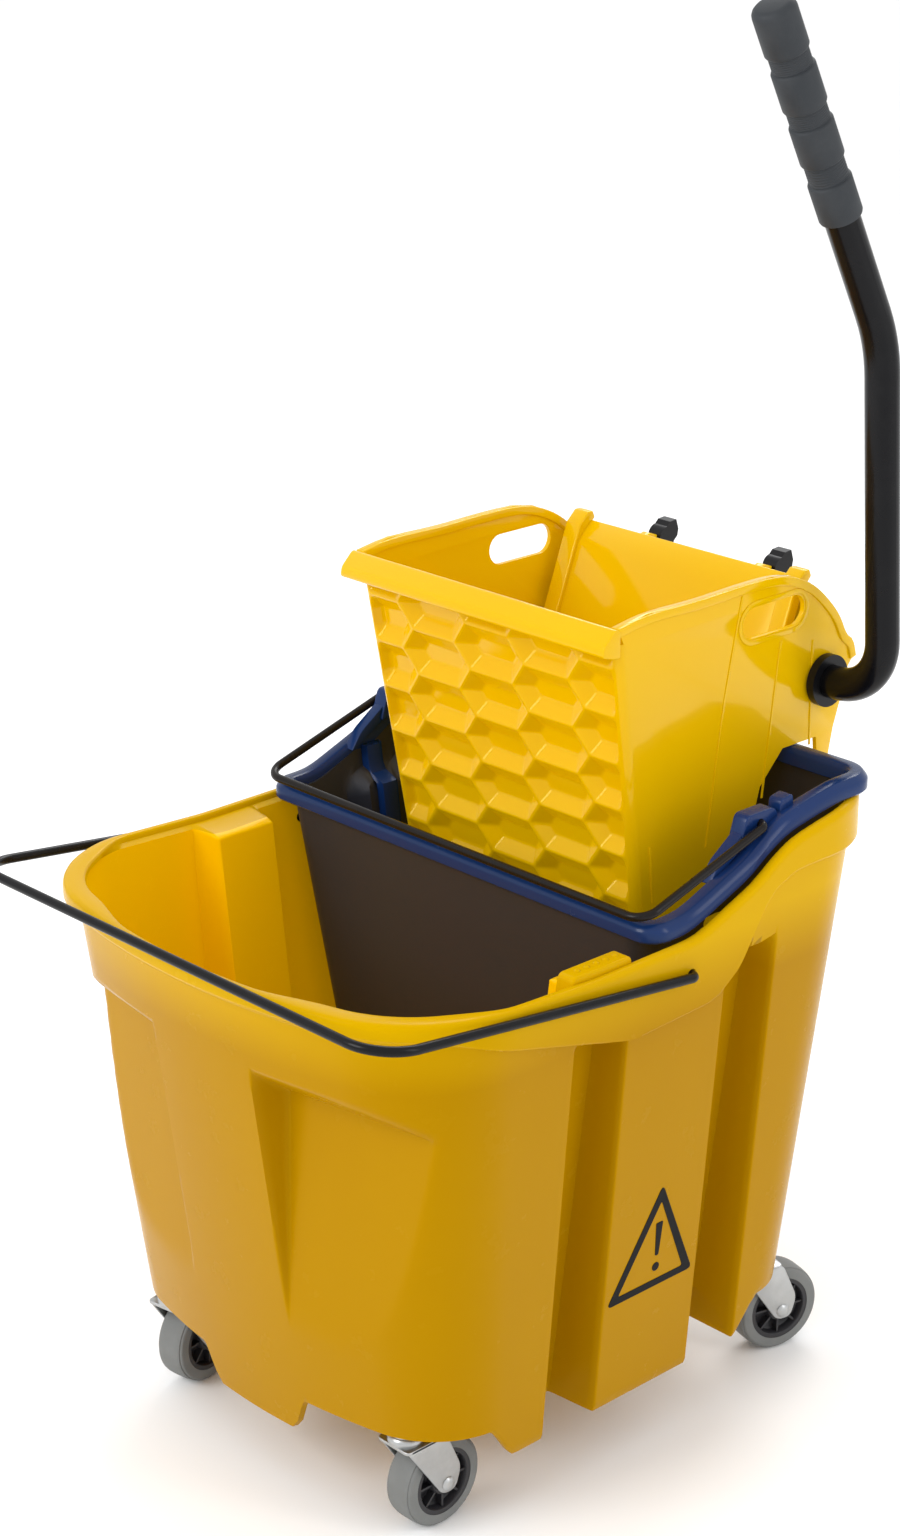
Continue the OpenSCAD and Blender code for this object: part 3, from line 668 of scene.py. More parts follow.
class Shape(Tree):
    """A Geometry Nodes tree under construction, with a named input for each size."""

    def __init__(self, name, **sizes):
        super().__init__(bpy.data.node_groups.new(name, "GeometryNodeTree"))
        sockets = self.tree.interface
        sockets.new_socket("Geometry", in_out="INPUT", socket_type="NodeSocketGeometry")
        sockets.new_socket("Geometry", in_out="OUTPUT", socket_type="NodeSocketGeometry")
        self.values = {}
        for label, value in sizes.items():
            kind = "NodeSocketInt" if isinstance(value, int) else "NodeSocketFloat"
            socket = sockets.new_socket(label, in_out="INPUT", socket_type=kind)
            socket.default_value = value
            self.values[socket.identifier] = value
        self.inputs = self.tree.nodes.new("NodeGroupInput")

    def size(self, label):
        return Value(self, self.inputs.outputs[label])

    def bake(self, name, geometry, slot, angle=35):
        """Ends the tree, runs it, and returns its result as a plain mesh object."""
        real = self.node("GeometryNodeRealizeInstances", {}, {"Geometry": geometry})[0]
        coat = self.node("GeometryNodeSetMaterial", {},
                         {"Geometry": real, "Material": finishes()[slot]})[0]
        out = self.tree.nodes.new("NodeGroupOutput")
        self.tree.links.new(coat.socket, out.inputs[0])
        piece = bpy.data.objects.new(name, bpy.data.meshes.new(name))
        bpy.context.scene.collection.objects.link(piece)
        modifier = piece.modifiers.new(name, "NODES")
        modifier.node_group = self.tree
        for key, value in self.values.items():
            modifier[key] = value
        apply_modifiers(piece)
        soften(piece, angle)
        return piece


# ---------------------------------------------------------------- bucket

RIM_TOP = ((-300, 399), (-156, 399), (-69, 395.6), (14, 396.6), (24, 398), (50, 408),
           (78, 419), (96, 431), (115, 440), (144, 445.5), (168, 449), (300, 449))
BAND_FOOT = ((-300, 386), (-190, 384), (-150, 372), (-77, 353), (-40, 343), (38, 347),
             (62, 364), (76, 387), (92, 408), (116, 417), (300, 419))
KEEL_XS = (0, 10, 20, 30, 38, 44, 47, 48.4, 49.2, 49.8, 50.4, 51, 51.8, 53, 56)
LIP_ROWS = ((0, -4.2), (0.3, -2.6), (1.0, -1.3), (2.2, -0.4), (3.6, 0))


def rim_top(y):
    """Height of the bucket's rim at a place along its side."""
    return soft_along(RIM_TOP, y, 14)


class Plan:
    """The bucket's outline, seen from above, at a height and moved in by a margin."""

    def __init__(self, z, margin):
        b = bpy.context.scene.bucket_sizes
        rise = b.rim_z - SKIRT_Z
        down = (b.rim_z - z) / rise
        slope = (RIM_HALF - b.band - b.skirt_half) / rise
        self.w = b.skirt_half + slope * (z - SKIRT_Z) - margin
        self.y0 = RIM_FRONT + b.band + margin + down * b.front_lean
        self.y1 = RIM_BACK - b.band - margin - down * b.back_lean
        self.cr = b.front_corner - margin - down * FRONT_TAPER
        self.br = b.back_corner - margin - down * BACK_TAPER
        self.fr = b.front_arc - margin

    def half(self):
        """Points of the right half, from the front's middle round to the back's middle."""
        inner = self.fr - self.cr
        reach = self.w - self.cr
        lean = math.asin(reach / inner)
        corner_y = self.y0 + self.fr - math.sqrt(inner ** 2 - reach ** 2)
        end = self.fr * math.sin(lean)
        xs = list(KEEL_XS) + spread(KEEL_XS[-1], end, 15)[1:]
        points = [(x, self.y0 + self.fr - math.sqrt(self.fr ** 2 - x * x)) for x in xs]
        for a in spread(lean - math.pi / 2, 0, 26)[1:]:
            points.append((reach + self.cr * math.cos(a), corner_y + self.cr * math.sin(a)))
        ys = side_stations()
        points += [(self.w, y) for y in spread(corner_y, ys[0], 7)[1:-1]]
        points += [(self.w, y) for y in ys]
        points += [(self.w, y) for y in spread(ys[-1], self.y1 - self.br, 5)[1:-1]]
        for a in spread(0, math.pi / 2, 20):
            points.append((self.w - self.br + self.br * math.cos(a),
                           self.y1 - self.br + self.br * math.sin(a)))
        points += [(x, self.y1) for x in spread(self.w - self.br, 0, 7)[1:]]
        return points


SKIRT_Z = 52.0
RIM_HALF = 199.5
RIM_FRONT = -250.5
RIM_BACK = 221.0
FRONT_TAPER = 28.0
BACK_TAPER = 8.0
FRONT_GROOVE_TOP = 346.0
BACK_GROOVE_TOP = 366.0
PILASTER_TOP = 391.0


def side_stations():
    """Places of the columns along each straight side, dense at the grooves' edges."""
    b = bpy.context.scene.bucket_sizes
    ys = []
    for middle in (b.groove_front, b.groove_back):
        for side in (-1, 1):
            edge = middle + side * b.groove_w / 2
            ys += [edge + d for d in (-7, -5, -3.6, -2.4, -1.4, -0.6, 0.2, 1, 1.8, 2.8, 4, 5.6, 7.4)]
        ys += [middle - 9, middle, middle + 9]
    ys += [-24, -14, -4, 5, 14, 23, 32, 41, 50]
    return sorted(ys)


def grooved(x, y, z, grow, tops):
    """A side wall's x after the two upright grooves are pressed in."""
    b = bpy.context.scene.bucket_sizes
    floor = b.groove_half - grow + (b.groove_top_half - b.groove_half) * (
        z - SKIRT_Z) / (b.rim_z - SKIRT_Z)
    if x <= floor:
        return x
    for middle, top in zip((b.groove_front, b.groove_back), tops):
        within = smooth((b.groove_w / 2 + grow - abs(y - middle)) / 4.4 + 0.5)
        below = smooth((top - z) / 6 + 0.5)
        x = mix(x, floor, within * below)
    return x


def pocketed(x, y, z, grow):
    """The front wall's y after the pockets on both sides of the keel are pressed in."""
    b = bpy.context.scene.bucket_sizes
    if y > -60 or x < b.keel_half - grow - 2 or z > b.pocket_top + 30 + grow:
        return y
    deep = (z - b.pocket_top) * 0.02
    if z > b.pocket_top:
        deep = -(z - b.pocket_top) * 36 / 27
    turn = math.radians(b.pocket_turn)
    floor = b.pocket_y + deep / math.cos(turn) + math.tan(turn) * (x - b.keel_half) + grow
    beside = smooth((x - b.keel_half + grow) / 2.6 + 0.5)
    return mix(y, soft_max(y, floor, 1.6), beside)


def wall_loop(z, margin, grow, tops):
    """The right half of the wall's outline at a height, with grooves and pockets."""
    loop = []
    for x, y in Plan(z, margin).half():
        if -90 < y < 120:
            x = grooved(x, y, z, grow, tops)
        loop.append((x, pocketed(x, y, z, grow), z))
    return loop


def mirrored(loop):
    """A whole ring from its right half."""
    return loop + [(-x, y, z) for x, y, z in reversed(loop[1:-1])]


def leg_foot(x, y):
    """Height of the skirt's lower edge, raised into an arch over each wheel."""
    best = SKIRT_Z
    for stem in STEMS:
        gap = math.hypot(x - stem[0] * 0.9, y - stem[1] * 0.973)
        best = max(best, mix(SKIRT_Z, ARCH_TOP, smooth((69 - gap) / 16 + 0.5)))
    return best


STEMS = [(abs(pivot("swivel_" + c).x), pivot("swivel_" + c).y) for c in CORNERS]
ARCH_TOP = 80.0


def outer_columns():
    """The outer surface, as one list of points up each column of the right half."""
    b = bpy.context.scene.bucket_sizes
    tops = (FRONT_GROOVE_TOP, BACK_GROOVE_TOP)
    levels = spread(80, 336, 62)
    fixed = [wall_loop(z, 0, 0, tops) for z in levels]
    feet = [wall_loop(z, 0, 0, tops) for z in spread(SKIRT_Z, 80, 9)]
    upper = {z: wall_loop(z, 0, 0, tops) for z in range(336, 450, 2)}
    rim = Plan(b.rim_z, -b.band).half()
    lip = Plan(b.rim_z, 20 - b.band).half()
    columns = []
    for i in range(len(rim)):
        x, y = feet[0][i][:2]
        foot = leg_foot(x, y)
        column = []
        for z in spread(foot, 80, 8)[:-1]:
            place = (z - SKIRT_Z) / (80 - SKIRT_Z) * 8
            low_row = min(7, int(place))
            a, c = feet[low_row][i], feet[low_row + 1][i]
            t = place - low_row
            tuck = 1.6 * (1 - smooth((z - foot) / 2.5))
            column.append((mix(a[0], c[0], t) - tuck * 0.7, mix(a[1], c[1], t), z))
        column += [row[i] for row in fixed]
        rx, ry = rim[i]
        top = rim_top(ry)
        edge = soft_along(BAND_FOOT, ry, 10)
        blend = mix(9, 3.2, smooth((ry + 215) / 60))
        zs = spread(337, edge - 6, 13) + spread(edge - 5, edge + 6, 12) + spread(
            edge + 8, top - 6, 6)
        for z in zs:
            key = min(446, int((z - 336) / 2) * 2 + 336)
            a, c = upper[key][i], upper[key + 2][i]
            t = (z - key) / 2
            out = smooth((z - edge) / blend + 0.5)
            column.append((mix(mix(a[0], c[0], t), rx, out), mix(mix(a[1], c[1], t), ry, out), z))
        ix, iy = lip[i]
        width = lip_width(rx, ry)
        for inward, drop in LIP_ROWS:
            t = inward / 20
            column.append((mix(rx, ix, t), mix(ry, iy, t), top + drop))
        for back, drop in ((1.8, 0), (0.7, -0.5), (0.0, -1.8), (-0.4, -4)):
            t = (width - back) / 20
            column.append((mix(rx, ix, t), mix(ry, iy, t), top + drop))
        columns.append(column)
    return columns


def lip_width(x, y):
    """Width of the rim's flat top: wider in the corners than along the sides."""
    front = smooth((abs(x) - 60) / 60) * smooth((-y - 120) / 50)
    side = smooth((abs(x) - 150) / 30) * smooth((y + 190) / 60)
    return mix(mix(8.5, 15.5, front), 7.5, side)


def inner_columns():
    """The tank's inside, from the rim down to its floor, as one list per column."""
    b = bpy.context.scene.bucket_sizes
    tops = (PILASTER_TOP, PILASTER_TOP)
    zs = spread(378, b.floor_z, 46)
    rows = [wall_loop(z, b.wall, b.wall, tops) for z in zs]
    upper = {z: wall_loop(z, b.wall, b.wall, tops) for z in range(378, 450, 2)}
    rim = Plan(b.rim_z, -b.band).half()
    columns = []
    for i in range(len(rim)):
        top = rim_top(rim[i][1])
        column = []
        for z in spread(min(top - 6, 445), 380, 13):
            key = min(446, int((z - 378) / 2) * 2 + 378)
            a, c = upper[key][i], upper[key + 2][i]
            t = (z - key) / 2
            column.append((mix(a[0], c[0], t), mix(a[1], c[1], t), z))
        columns.append(column + [row[i] for row in rows])
    return columns


def under_columns():
    """The hollow under the tank, from its ceiling down to just inside the skirt's edge."""
    b = bpy.context.scene.bucket_sizes
    tops = (PILASTER_TOP, PILASTER_TOP)
    ceiling = b.floor_z - b.wall
    low_rows = [wall_loop(z, b.wall, b.wall, tops) for z in (SKIRT_Z, ceiling)]
    outer = wall_loop(SKIRT_Z, 0, 0, (FRONT_GROOVE_TOP, BACK_GROOVE_TOP))
    columns = []
    for i in range(len(outer)):
        foot = leg_foot(*outer[i][:2])
        a, c = low_rows[0][i], low_rows[1][i]
        column = []
        for z in spread(ceiling, foot, 6):
            t = (z - SKIRT_Z) / (ceiling - SKIRT_Z)
            column.append((mix(a[0], c[0], t), mix(a[1], c[1], t), z))
        columns.append(column)
    return columns


def bucket_piece():
    """The bucket: tank, skirt, rim band, grooves, keel and pockets in one moulding."""
    inner = inner_columns()
    columns = [u + o + n for u, o, n in zip(under_columns(), outer_columns(), inner)]
    rings = [mirrored([column[r] for column in columns]) for r in range(len(columns[0]))]
    first_inner = len(columns[0]) - len(inner[0])
    piece = ring_mesh("bucket_moulding", rings, start_cap=True, end_cap=True, angle=50,
                      second_from=first_inner)
    for slot in ("bucket_yellow", "bucket_inside"):
        piece.data.materials.append(finishes()[slot])
    carve(piece, [lathe("bail hole", ((0, -30), (4, -30), (4, 30), (0, 30)),
                        (s * 190, pivot("bail_swing").y, pivot("bail_swing").z), (1, 0, 0), 32)
                  for s in (-1, 1)])
    soften(piece, 50)
    marks = [face.material_index for face in piece.data.polygons]
    place_piece(piece, "bucket", "bucket_yellow", "bucket_shell")
    piece.data.materials.append(finishes()["bucket_inside"])
    piece.data.polygons.foreach_set("material_index", marks)
    return piece


def grip_pad(side):
    """Raised pad with five dots on the rim's inner edge, beside the pail."""
    x0, x1 = 179, 193
    outline = rounded([(-91, 386), (-34, 386), (-36, 400.5), (-88, 400.5)], 4)
    pad = extruded("pad", outline, side * x0, side * x1, 1.4)
    dots = []
    for i in range(5):
        y = -78 + i * 8.5
        profile = ((0, 0), (2.2, 0), (1.9, 0.7), (1.0, 1.2), (0, 1.4))
        dots.append(lathe("dot", profile, (side * 186, y, 400.4), (0, 0, 1), 16))
    piece = joined("rim_pad", [pad] + dots)
    soften(piece, 40)
    return place_piece(piece, "bucket", "bucket_yellow")


def sign_piece():
    """Three-cornered mark with an exclamation sign, on the middle leg of each side."""
    b = bpy.context.scene.bucket_sizes
    slope = (RIM_HALF - b.band - b.skirt_half) / (b.rim_z - SKIRT_Z)
    parts = []
    for side in (-1, 1):
        outer = [(-27.5, 132.5), (55.8, 132.5), (18.2, 212)]
        inner = [(-17.5, 138.0), (45.8, 138.0), (18.2, 199.5)]
        mark = [(14.9, 183), (21.5, 183), (19.8, 157), (16.6, 157)]
        dot = [(18.2 + 3.3 * math.cos(a), 148 + 3.3 * math.sin(a))
               for a in spread(0, 2 * math.pi, 17)[:-1]]
        points, faces = [], []

        def wall(y, z, out):
            return (side * (b.skirt_half + slope * (z - SKIRT_Z) + out), y, z)

        frames = [rounded(outer, 5, 7), rounded(inner, 2.5, 7)]
        count = len(frames[0])
        for out in (-0.3, 0.35):
            for frame_line in frames:
                points += [wall(y, z, out) for y, z in frame_line]
        for i in range(count):
            j = (i + 1) % count
            faces += [(i, j, count + j, count + i),
                      (2 * count + i, 3 * count + i, 3 * count + j, 2 * count + j),
                      (i, 2 * count + i, 2 * count + j, j),
                      (count + i, count + j, 3 * count + j, 3 * count + i)]
        for line in (rounded(mark, 1.2, 4), dot):
            start, n = len(points), len(line)
            for out in (-0.3, 0.35):
                points += [wall(y, z, out) for y, z in line]
            faces += [tuple(range(start, start + n)),
                      tuple(range(start + 2 * n - 1, start + n - 1, -1))]
            faces += [(start + i, start + (i + 1) % n, start + n + (i + 1) % n, start + n + i)
                      for i in range(n)]
        sign = mesh_piece("sign", points, faces)
        tidy_mesh(sign)
        parts.append(sign)
    return place_piece(joined("caution_marks", parts), "bucket", "sign_black", "warning_signs")


# ---------------------------------------------------------------- pail

PAIL_FOOT = 121.0
PAIL_CLEAR = 0.4


def box_plan(half, y0, y1, r, steps=9, along_side=30, front_r=None):
    """Right half of a rounded rectangle, from the front's middle to the back's middle."""
    f = front_r or r
    points = [(x, y0) for x in spread(0, half - f, 6)[:-1]]
    for a in spread(-90, 0, steps):
        points.append((half - f + f * math.cos(math.radians(a)),
                       y0 + f + f * math.sin(math.radians(a))))
    points += [(half, y) for y in spread(y0 + f, y1 - r, along_side)[1:-1]]
    for a in spread(0, 90, steps):
        points.append((half - r + r * math.cos(math.radians(a)),
                       y1 - r + r * math.sin(math.radians(a))))
    return points + [(x, y1) for x in spread(half - r, 0, 6)[1:]]


def pail_plan(z, margin):
    t = (z - PAIL_FOOT) / (399 - PAIL_FOOT)
    return box_plan(138 + 38 * t - margin, 20 - 28 * t + margin, 172 + 30 * t - margin,
                    38 - margin, front_r=16 - margin)


def pail_piece():
    """The pail's dark body, notched to pass the bucket's grooves."""
    b = bpy.context.scene.bucket_sizes

    def loop(fraction, margin, floor):
        points = []
        top_line = pail_plan(399, margin)
        for i, (_, y_top) in enumerate(top_line):
            top = rim_top(y_top) + 6
            z = mix(floor, top, fraction)
            x, y = pail_plan(z, margin)[i]
            notch = b.groove_half - 7 - margin + 45 * (z - SKIRT_Z) / 347
            deep = smooth((b.groove_w / 2 + 7 + margin - abs(y - b.groove_back)) / 6 + 0.5)
            if x > notch:
                x = mix(x, notch, deep * smooth((395 + margin - z) / 8 + 0.5))
            points.append((x, y, z))
        return mirrored(points)

    rings = [loop(t, 0, PAIL_FOOT) for t in spread(0, 1, 40)]
    rings += [loop(t, 3, PAIL_FOOT + 3) for t in spread(1, 0, 40)]
    piece = ring_mesh("pail_body_moulding", rings, start_cap=True, end_cap=True, angle=40)
    return place_piece(piece, "pail", "pail_grey", "pail_body")


def pail_rim_piece():
    """The pail's blue rim: a bevelled band that lies on the bucket's rim."""
    section = ((0, 1.5), (0, 7.5), (0.6, 8.8), (3.6, 12.4), (4.8, 13), (11, 13), (12.6, 12.6),
               (14.2, 11), (15, 9), (15, 0.8), (14.4, 0.1), (1.2, 0.1))
    rings = []
    for inward, up in section + (section[0],):
        plan = box_plan(190.5 - inward, -14 + inward, 212 - inward, 26 - inward, 11, 34,
                        front_r=17 - inward)
        rings.append(mirrored([(x, y, rim_top(y) + PAIL_CLEAR + up) for x, y in plan]))
    piece = ring_mesh("pail_rim_band", rings, angle=28)
    return place_piece(piece, "pail", "pail_blue", "pail_rim")


def pail_rib(side):
    """Upright blue rib on the inside of the pail's side wall, in its notch."""
    b = bpy.context.scene.bucket_sizes
    rings = []
    for z in spread(250, 420, 35):
        t = (z - PAIL_FOOT) / (399 - PAIL_FOOT)
        wall = 138 + 38 * t - 3.2
        notch = b.groove_half - 10.2 + 45 * (z - SKIRT_Z) / 347
        half = mix(wall, min(wall, notch), smooth((398 - z) / 8 + 0.5))
        rings.append([(side * (half - d), y, z)
                      for d, y in ((0, 64), (5.2, 65.5), (6, 68), (6, 77), (5.2, 79.5), (0, 81))])
    piece = ring_mesh("pail_rib_r" if side > 0 else "pail_rib_l", rings, start_cap=True,
                      end_cap=True)
    return place_piece(piece, "pail", "pail_blue")


def pail_ear_piece(side):
    """Block and wedge on the pail's rim that hold one end of its bail."""
    node = "pail_ear_r" if side > 0 else "pail_ear_l"
    lo, hi = low(node), high(node)
    base = lo.z + 0.6
    block = rounded([(lo.y, base), (hi.y, base + 13), (hi.y - 6, hi.z), (lo.y + 7, hi.z)], 4)
    wedge = rounded([(50, rim_top(50) + 10), (lo.y + 10, base + 4), (lo.y + 10, hi.z - 7),
                     (60, rim_top(60) + 20)], 4)
    knob = rounded([(117, rim_top(117) + 10), (131, rim_top(131) + 10),
                    (130, rim_top(131) + 20), (118, rim_top(117) + 21)], 3)
    inner = side * (abs(lo.x + hi.x) / 2 - 9)
    outer = side * (abs(lo.x + hi.x) / 2 + 3)
    piece = joined(node + "_block", [
        extruded("block", block, *sorted((inner, outer)), 1.3),
        extruded("wedge", wedge, *sorted((inner + side * 2, outer - side)), 1.3),
        extruded("knob", knob, *sorted((inner + side, outer)), 1.3)])
    hole = pivot("pail_bail_swing")
    carve(piece, [lathe("ear hole", ((0, -20), (3.3, -20), (3.3, 20), (0, 20)),
                        (side * 177, hole.y, hole.z), (1, 0, 0), 32)])
    soften(piece, 40)
    return place_piece(piece, "pail", "ear_blue", node)


# ---------------------------------------------------------------- wringer

SIDE_TOP = ((18, 588), (45, 592.3), (92, 591), (130, 592.3), (165, 592.3), (185, 589),
            (206, 580), (225, 566), (240, 550.5), (249, 534), (257, 529), (261, 517))
SIDE_REST = ((255, 509), (250, 487), (244, 466), (241, 446), (229, 446), (226, 463), (191, 463),
             (170, 440), (146, 336))
SEAMS = (((137, 585), (126, 514), (117.5, 409)), ((180, 544), (172, 431)),
         ((60.5, 425), (67, 383)), ((214, 537), (219, 459)))
HAND_HOLE = (171.0, 563.0, 40.0, 11.0)


def front_plane(z):
    """Place of the honeycomb wall's face at a height."""
    w = bpy.context.scene.wringer_sizes
    return w.front_y - math.tan(math.radians(w.front_lean)) * (z - w.ref_z)


def leaned(piece, side):
    """Stands a side piece, built about x = 0, at the wringer's side and leans it out."""
    w = bpy.context.scene.wringer_sizes
    tilt = math.tan(math.radians(w.side_lean))
    for v in piece.data.vertices:
        v.co.x += side * (w.half * MM + tilt * (v.co.z - w.ref_z * MM))
    return piece


def strip(points, half):
    """Outline of a band of a half width along a line of (y, z) points."""
    left, right = [], []
    for i, (y, z) in enumerate(points):
        a = Vector(points[max(0, i - 1)])
        c = Vector(points[min(len(points) - 1, i + 1)])
        side = (c - a).normalized().orthogonal() * half
        left.append((y + side.x, z + side.y))
        right.append((y - side.x, z - side.y))
    return left + right[::-1]


def side_piece(side):
    """One side wall with its hand hole, bead along the top, and seam lines."""
    w = bpy.context.scene.wringer_sizes
    foot = 336.0
    front = [(front_plane(foot) + w.corner * 0.9, foot), (front_plane(572) + w.corner * 0.9, 572)]
    outline = front + list(SIDE_TOP) + list(SIDE_REST)
    x0, x1 = sorted((0, -side * w.wall))
    wall = extruded("wall", outline, x0, x1)
    y, z, span, r = HAND_HOLE
    hole = arc((y + span / 2, z), r, -90, 90, 14) + arc((y - span / 2, z), r, 90, 270, 14)
    carve(wall, [extruded("hole", hole, -20, 20),
                 lathe("bore", ((0, -30), (16, -30), (16, 30), (0, 30)),
                       (0, *pivot("lever_press").yz), (1, 0, 0), 48)])
    round_edges(wall, 1.1, 3)
    bead_line = [(p[0], p[1] - 3.2) for p in SIDE_TOP[:7]] + [
        (p[0] - 2.4, p[1] - 2.4) for p in SIDE_TOP[7:]]
    b0, b1 = sorted((side * 1.6, -side * (w.wall + 2.2)))
    bead = extruded("bead", strip(smoothed(bead_line), 3.1), b0, b1, 1.5)
    frame_line = arc((y + span / 2, z), r + 3, -90, 90, 14) + arc(
        (y - span / 2, z), r + 3, 90, 270, 14)
    lip = extruded("lip", strip(frame_line + frame_line[:1], 1.6), *sorted((0, side * 0.7)), 0.4)
    seams = [extruded("seam", strip(line, 0.9), *sorted((-side * 0.3, side * 0.7)), 0.35)
             for line in SEAMS]
    piece = joined("wringer_side_r" if side > 0 else "wringer_side_l",
                   [wall, bead, lip] + seams)
    soften(piece, 38)
    leaned(piece, side)
    return place_piece(piece, "wringer", "wringer_yellow", "wringer_body")


def smoothed(points, rounds=2):
    """A broken line with its corners cut twice."""
    for _ in range(rounds):
        line = [points[0]]
        for a, c in zip(points, points[1:]):
            line.append((mix(a[0], c[0], 0.25), mix(a[1], c[1], 0.25)))
            line.append((mix(a[0], c[0], 0.75), mix(a[1], c[1], 0.75)))
        points = line + [points[-1]]
    return points


def honeycomb_piece():
    """The wringer's front wall, its cells pressed in by a rule of two lattices."""
    w = bpy.context.scene.wringer_sizes
    foot, top = 336.0, 576.0
    s = Shape("honeycomb wall", cell_across=w.cell_w, cell_up=w.cell_h, cell_flat=w.cell_flat,
              cell_deep=w.cell_deep, half_width=w.half, side_slope=math.tan(math.radians(w.side_lean)),
              front_slope=math.tan(math.radians(w.front_lean)), front_place=w.front_y,
              middle=w.ref_z, thickness=w.wall, corner=w.corner, foot=foot, height=top - foot,
              columns=190, rows=170)
    block = s.node("GeometryNodeMeshCube", {}, {
        "Size": (2, 1, 1), "Vertices X": s.size("columns"), "Vertices Y": 2,
        "Vertices Z": s.size("rows")})[0]
    place = s.node("GeometryNodeInputPosition", {}, {})[0]
    px, py, pz = s.node("ShaderNodeSeparateXYZ", {}, {0: place})
    z = (pz + 0.5) * s.size("height") + s.size("foot")
    rise = z - s.size("middle")
    half = rise * s.size("side_slope") + s.size("half_width")
    r = s.size("corner")
    flat = half - r
    run = px * (flat + r * (math.pi / 2))
    turn = ((run.size() - flat) / r).at_least(0.0)
    side = run.sign()
    x = (run.size().at_most(flat) + turn.sine() * r) * side
    inward = (py + 0.5) * s.size("thickness")
    y = s.size("front_place") - rise * s.size("front_slope") + (1.0 - turn.cosine()) * r
    across, up = s.size("cell_across"), s.size("cell_up")
    depth_z = z - CELL_TOP

    def from_edge(shift):
        fx = (x + across * shift + across * 8.0).folded(across)
        fz = (depth_z + up * (0.5 * shift) + up * 16.0).folded(up * 0.5)
        level = fz - up * 0.5
        tip = across - s.size("cell_flat")
        slant_run = tip - s.size("cell_flat")
        length_ = (slant_run * slant_run + up * up * 0.25) ** 0.5
        slant = ((fx - tip) * up * 0.5 + fz * slant_run) / length_
        return level.at_least(slant)

    inside = from_edge(0.0).at_most(from_edge(1.0)) * -1.0
    pressed = ((inside - RIDGE_HALF) / CELL_SLOPE).clipped()
    border = ((flat - x.size() + 4.0) / 5.0).eased() * ((z - foot - 9.0) / 5.0).eased() * (
        (COMB_END - z) / 4.0).eased()
    sunk = pressed * border * s.size("cell_deep")
    nx = x - turn.sine() * inward * side
    ny = y + turn.cosine() * inward + sunk
    spot = s.node("ShaderNodeCombineXYZ", {}, {0: nx * MM, 1: ny * MM, 2: z * MM})[0]
    moved = s.node("GeometryNodeSetPosition", {}, {"Geometry": block, "Position": spot})[0]
    piece = s.bake("wringer_front", moved, "wringer_yellow", 60)
    return place_piece(piece, "wringer", "wringer_yellow")


CELL_TOP = 541.0
RIDGE_HALF = 0.7
CELL_SLOPE = 10.0
COMB_END = 574.0


def wringer_trim():
    """Front rail, floor, hinge blocks and the bridge behind the press plate."""
    lean = front_plane(572)
    rail = rounded([(lean + 1, 568), (lean + 1, 586.5), (lean - 4, 588.6), (lean - 14.5, 578.5),
                    (lean - 15.5, 571.5), (lean - 6, 569)], 2.6)
    parts = [extruded("rail", rail, -126, 126, 2.2, 4)]
    floor = rounded([(front_plane(336) + 2, 336), (146, 336), (146, 340), (front_plane(340) + 2, 340)], 1)
    deck = extruded("deck", floor, -110, 110, 0.8)
    slots = [extruded("slot", [(74, 330), (118, 330), (118, 345), (74, 345)], x - 5, x + 5)
             for x in range(-84, 85, 24)]
    parts.append(carve(deck, slots))
    hinge = pivot("plate_press")
    for side in (-1, 1):
        block = arc(hinge.yz, 8, 0, 180, 12) + [(hinge.y - 8, 336), (hinge.y + 8, 336)]
        a, c = sorted((side * 101.5, side * 114))
        parts.append(extruded("block", block, a, c, 1.2))
    bridge = [(205, 466), (216, 466), (216, 471), (209, 471), (209, 482), (205, 482)]
    parts.append(extruded("bridge", bridge, -118, 118, 0.9))
    piece = joined("wringer_trim", parts)
    soften(piece, 38)
    return place_piece(piece, "wringer", "wringer_yellow")


def cover_piece():
    """The curved cover behind the shaft, slotted for the cam levers."""
    outline = [(227.4, 563.6), (240, 550.3), (249, 533.8), (257, 528.8), (261, 517), (255, 509),
               (250, 487), (243, 472.3), (209.3, 472.3), (209.3, 475.5), (240, 475.5),
               (246.5, 488), (251.5, 510), (257, 517), (254, 526), (246.5, 531), (237, 548.5),
               (224.9, 561.5)]
    piece = extruded("cover", outline, -113.8, 113.8)
    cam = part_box("cam_lever_r")
    middle = (cam[0].x + cam[1].x) / 2 / MM
    carve(piece, [extruded("slot", [(195, 526), (275, 526), (275, 606), (195, 606)],
                           s * middle - 8, s * middle + 8) for s in (-1, 1)])
    round_edges(piece, 0.9, 3)
    piece.name = "wringer_cover"
    return place_piece(piece, "wringer", "cover_yellow", "rear_cover")


